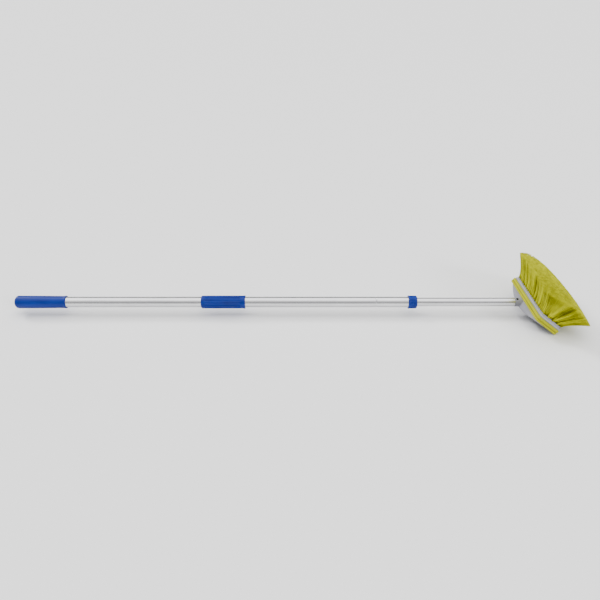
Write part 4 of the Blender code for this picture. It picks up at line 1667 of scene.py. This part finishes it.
    def tints(self, rng: np.random.Generator, tufts: int) -> np.ndarray:
        """Each fibre's tint from 0 to 1, by chance for itself, for its lock and for its tuft.

        Args:
            rng: The source of chance.
            tufts: The number of tufts.

        Returns:
            The tints.
        """
        own = rng.normal(self.tint, self.tint_spread, tufts * self.fibres_a_tuft)
        lock = rng.normal(0.0, self.lock_tint_spread, tufts * self.locks)
        tuft = rng.normal(0.0, self.tuft_tint_spread, tufts)
        return np.clip(own + np.repeat(lock, self.fibres_a_lock) + np.repeat(tuft, self.fibres_a_tuft), 0.0, 1.0)

    def build_group(self, index: int, points: np.ndarray, faces: Faces) -> bpy.types.Object:
        """Make the tufts of one of the part's groups as one piece.

        Args:
            index: Which group, counted from the far end.
            points: One fibre's points.
            faces: One fibre's faces.

        Returns:
            The piece.
        """
        rng = np.random.default_rng(self.seed + index)
        tufts = self.tufts()
        from_far_end = ((1.0 - tufts[:, 1]) / 2.0 * len(self.groups)).astype(int)
        mine = tufts[np.minimum(from_far_end, len(self.groups) - 1) == index]
        root, tip = self.ends(rng, mine)
        mesh = mesh_of_copies(f"tufts_{self.groups[index]}", self.strands(rng, root, tip, points), faces)
        tint = self.tints(rng, len(mine))
        for name, values in ((TINT, np.repeat(tint, len(points))), (ALONG, np.tile(points[:, 2], len(tip)))):
            layer = mesh.attributes.new(name, "FLOAT", "POINT")
            layer.data.foreach_set("value", values.astype(np.float32))
        mesh.polygons.foreach_set("use_smooth", np.ones(len(mesh.polygons), bool))
        piece = bpy.data.objects.new(mesh.name, mesh)
        bpy.context.scene.collection.objects.link(piece)
        self.head.seat(piece)
        return finish_piece(piece, FIBRE, Slot.BRISTLE, Body.INNER, f"bristles_{self.groups[index]}")

    def build(self) -> None:
        """Make every group."""
        points, faces = self.fibre()
        for index in range(len(self.groups)):
            self.build_group(index, points, faces)


# What stays from the part


def dress_inner_pieces() -> None:
    """Give the pieces that keep their own shapes the finish of their kind."""
    for names, material in (
        (("butt_plug", "split_collet", "rear_plug"), DARK_PLASTIC),
        (("guide_ring",), WHITE_NYLON),
        (("tip_plug",), GREY_PLUG),
    ):
        for name in names:
            node = frame["nodes"][name]
            node.data.materials.clear()
            node.data.materials.append(material)
            LOG.info("%s keeps its shape, in %s", name, material.name)


# The studio


@dataclass(frozen=True)
class SoftSun:
    """One wide, far light: the way that it shines from, its power on a square metre, its width in degrees."""

    name: str
    way: Triple
    power: float
    spread: float

    def build(self) -> None:
        """Set the light."""
        data = bpy.data.lights.new(self.name, "SUN")
        data.energy = self.power
        data.angle = math.radians(self.spread)
        light = bpy.data.objects.new(self.name, data)
        light.rotation_euler = (-Vector(self.way)).to_track_quat("-Z", "Y").to_euler()
        bpy.context.scene.collection.objects.link(light)


@dataclass
class Studio:
    """Pale floor, soft light and the camera."""

    line: PoleLine
    photo_pixels: float = 600.0
    focal_pixels: float = 560.0
    metres_a_pixel: float = 0.0024
    butt_pixel: float = 15.4
    axis_below_middle: float = 2.0
    elevation: float = 32.3
    sensor: float = 36.0
    air_strength: tuple[float, float] = (3.2, 1.1)
    strip_ends: tuple[float, float] = (0.50, 0.72)
    strip: Shares = ((0.0, 0.08), (180.0, 0.06), (150.0, 0.08), (128.0, 0.40), (116.0, 0.95),
                     (104.0, 1.0), (86.0, 1.0), (68.0, 0.74), (48.0, 0.34), (28.0, 0.11))
    backdrop: float = 1.85
    suns: tuple[SoftSun, ...] = (SoftSun("key_light", (-0.64, 0.48, 0.60), power=2.0, spread=14.0),
                                 SoftSun("fill_light", (0.66, -0.62, 0.42), power=1.3, spread=16.0))
    floor_size: float = 24.0

    def target(self) -> Vector:
        """The point that the middle of the photograph shows."""
        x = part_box("butt_grip")[0].x + (self.photo_pixels / 2 - self.butt_pixel) * self.metres_a_pixel
        return self.line.point(x) + self.up() * self.axis_below_middle * self.metres_a_pixel

    def up(self) -> Vector:
        """The camera's upward direction."""
        angle = math.radians(self.elevation)
        return Vector((0.0, math.sin(angle), math.cos(angle)))

    def back(self) -> Vector:
        """The way from the brush to the camera."""
        angle = math.radians(self.elevation)
        return Vector((0.0, -math.cos(angle), math.sin(angle)))

    def camera(self) -> None:
        """Set the camera as the photograph's stood."""
        data = bpy.data.cameras.new("studio_camera")
        data.sensor_width = self.sensor
        data.lens = self.sensor * self.focal_pixels / self.photo_pixels
        camera = bpy.data.objects.new("studio_camera", data)
        axes = Matrix((Vector((1.0, 0.0, 0.0)), self.up(), self.back())).transposed()
        camera.matrix_world = axes.to_4x4()
        camera.location = self.target() + self.back() * self.focal_pixels * self.metres_a_pixel
        bpy.context.scene.collection.objects.link(camera)
        bpy.context.scene.camera = camera

    def floor(self) -> None:
        """Lay the floor under the brush's lowest point."""
        deselect_all()
        bpy.ops.mesh.primitive_plane_add(size=self.floor_size, location=(0.0, 0.0, CAD_BOX[0].z - GAP))
        floor = bpy.context.object
        floor.name = "studio_floor"
        floor.data.materials.append(PaleFloor().make())

    def air(self) -> None:
        """Fill the room with soft light, a bright strip over the pole's whole length, before a pale backdrop."""
        world = bpy.data.worlds.new("studio_air")
        world.use_nodes = True
        tree = world.node_tree
        way = add_node(tree, "ShaderNodeTexCoord").outputs["Generated"]
        parts = add_node(tree, "ShaderNodeSeparateXYZ", {0: way}).outputs
        front = add_node(tree, "ShaderNodeMath", {0: parts["Y"], 1: -1.0}, operation="MULTIPLY").outputs[0]
        turn = add_node(tree, "ShaderNodeMath", {0: parts["Z"], 1: front}, operation="ARCTAN2").outputs[0]
        share = add_node(tree, "ShaderNodeMath", {0: turn, 1: math.pi}, operation="DIVIDE").outputs[0]
        ramp = add_node(tree, "ShaderNodeValToRGB", {0: share})
        stops = ramp.color_ramp.elements
        for index, (degrees, level) in enumerate(self.strip):
            stop = stops[index] if index < 2 else stops.new(1.0)
            stop.position, stop.color = degrees / 180.0, (level, level, level, 1.0)
        aside = add_node(tree, "ShaderNodeMath", {0: parts["X"]}, operation="ABSOLUTE").outputs[0]
        spans = zip(("From Min", "From Max", "To Min", "To Max"), (*self.strip_ends, *self.air_strength))
        ends = add_node(tree, "ShaderNodeMapRange", {0: aside, **dict(spans)}, interpolation_type="SMOOTHSTEP")
        sky = tree.nodes["Background"]
        tree.links.new(ramp.outputs["Color"], sky.inputs["Color"])
        tree.links.new(ends.outputs["Result"], sky.inputs["Strength"])
        pale = add_node(tree, "ShaderNodeBackground", {"Color": (1.0, 1.0, 1.0, 1.0), "Strength": self.backdrop})
        seen = add_node(tree, "ShaderNodeLightPath").outputs["Is Camera Ray"]
        room = add_node(tree, "ShaderNodeMixShader", {0: seen, 1: sky.outputs[0], 2: pale.outputs[0]})
        tree.links.new(room.outputs[0], tree.nodes["World Output"].inputs["Surface"])
        bpy.context.scene.world = world

    def build(self) -> None:
        """Light the room, lay the floor and set the camera."""
        self.air()
        self.floor()
        for sun in self.suns:
            sun.build()
        self.camera()


def main() -> None:
    """Build every piece in order."""
    line = PoleLine.of_node("outer_tube")
    Pole(line).build()
    head = HeadFrame(line)
    bumper = Bumper(head)
    bumper.build()
    button = SnapButton(line)
    button.build()
    LeafSpring(button).build()
    block = BrushBlock(head, bumper)
    bristles = BristleField(head, block)
    block.build(button, bristles.holes())
    bristles.build()
    dress_inner_pieces()
    Studio(line).build()


if __name__ == "__main__":
    logging.basicConfig(level=logging.INFO, format="%(message)s")
    main()
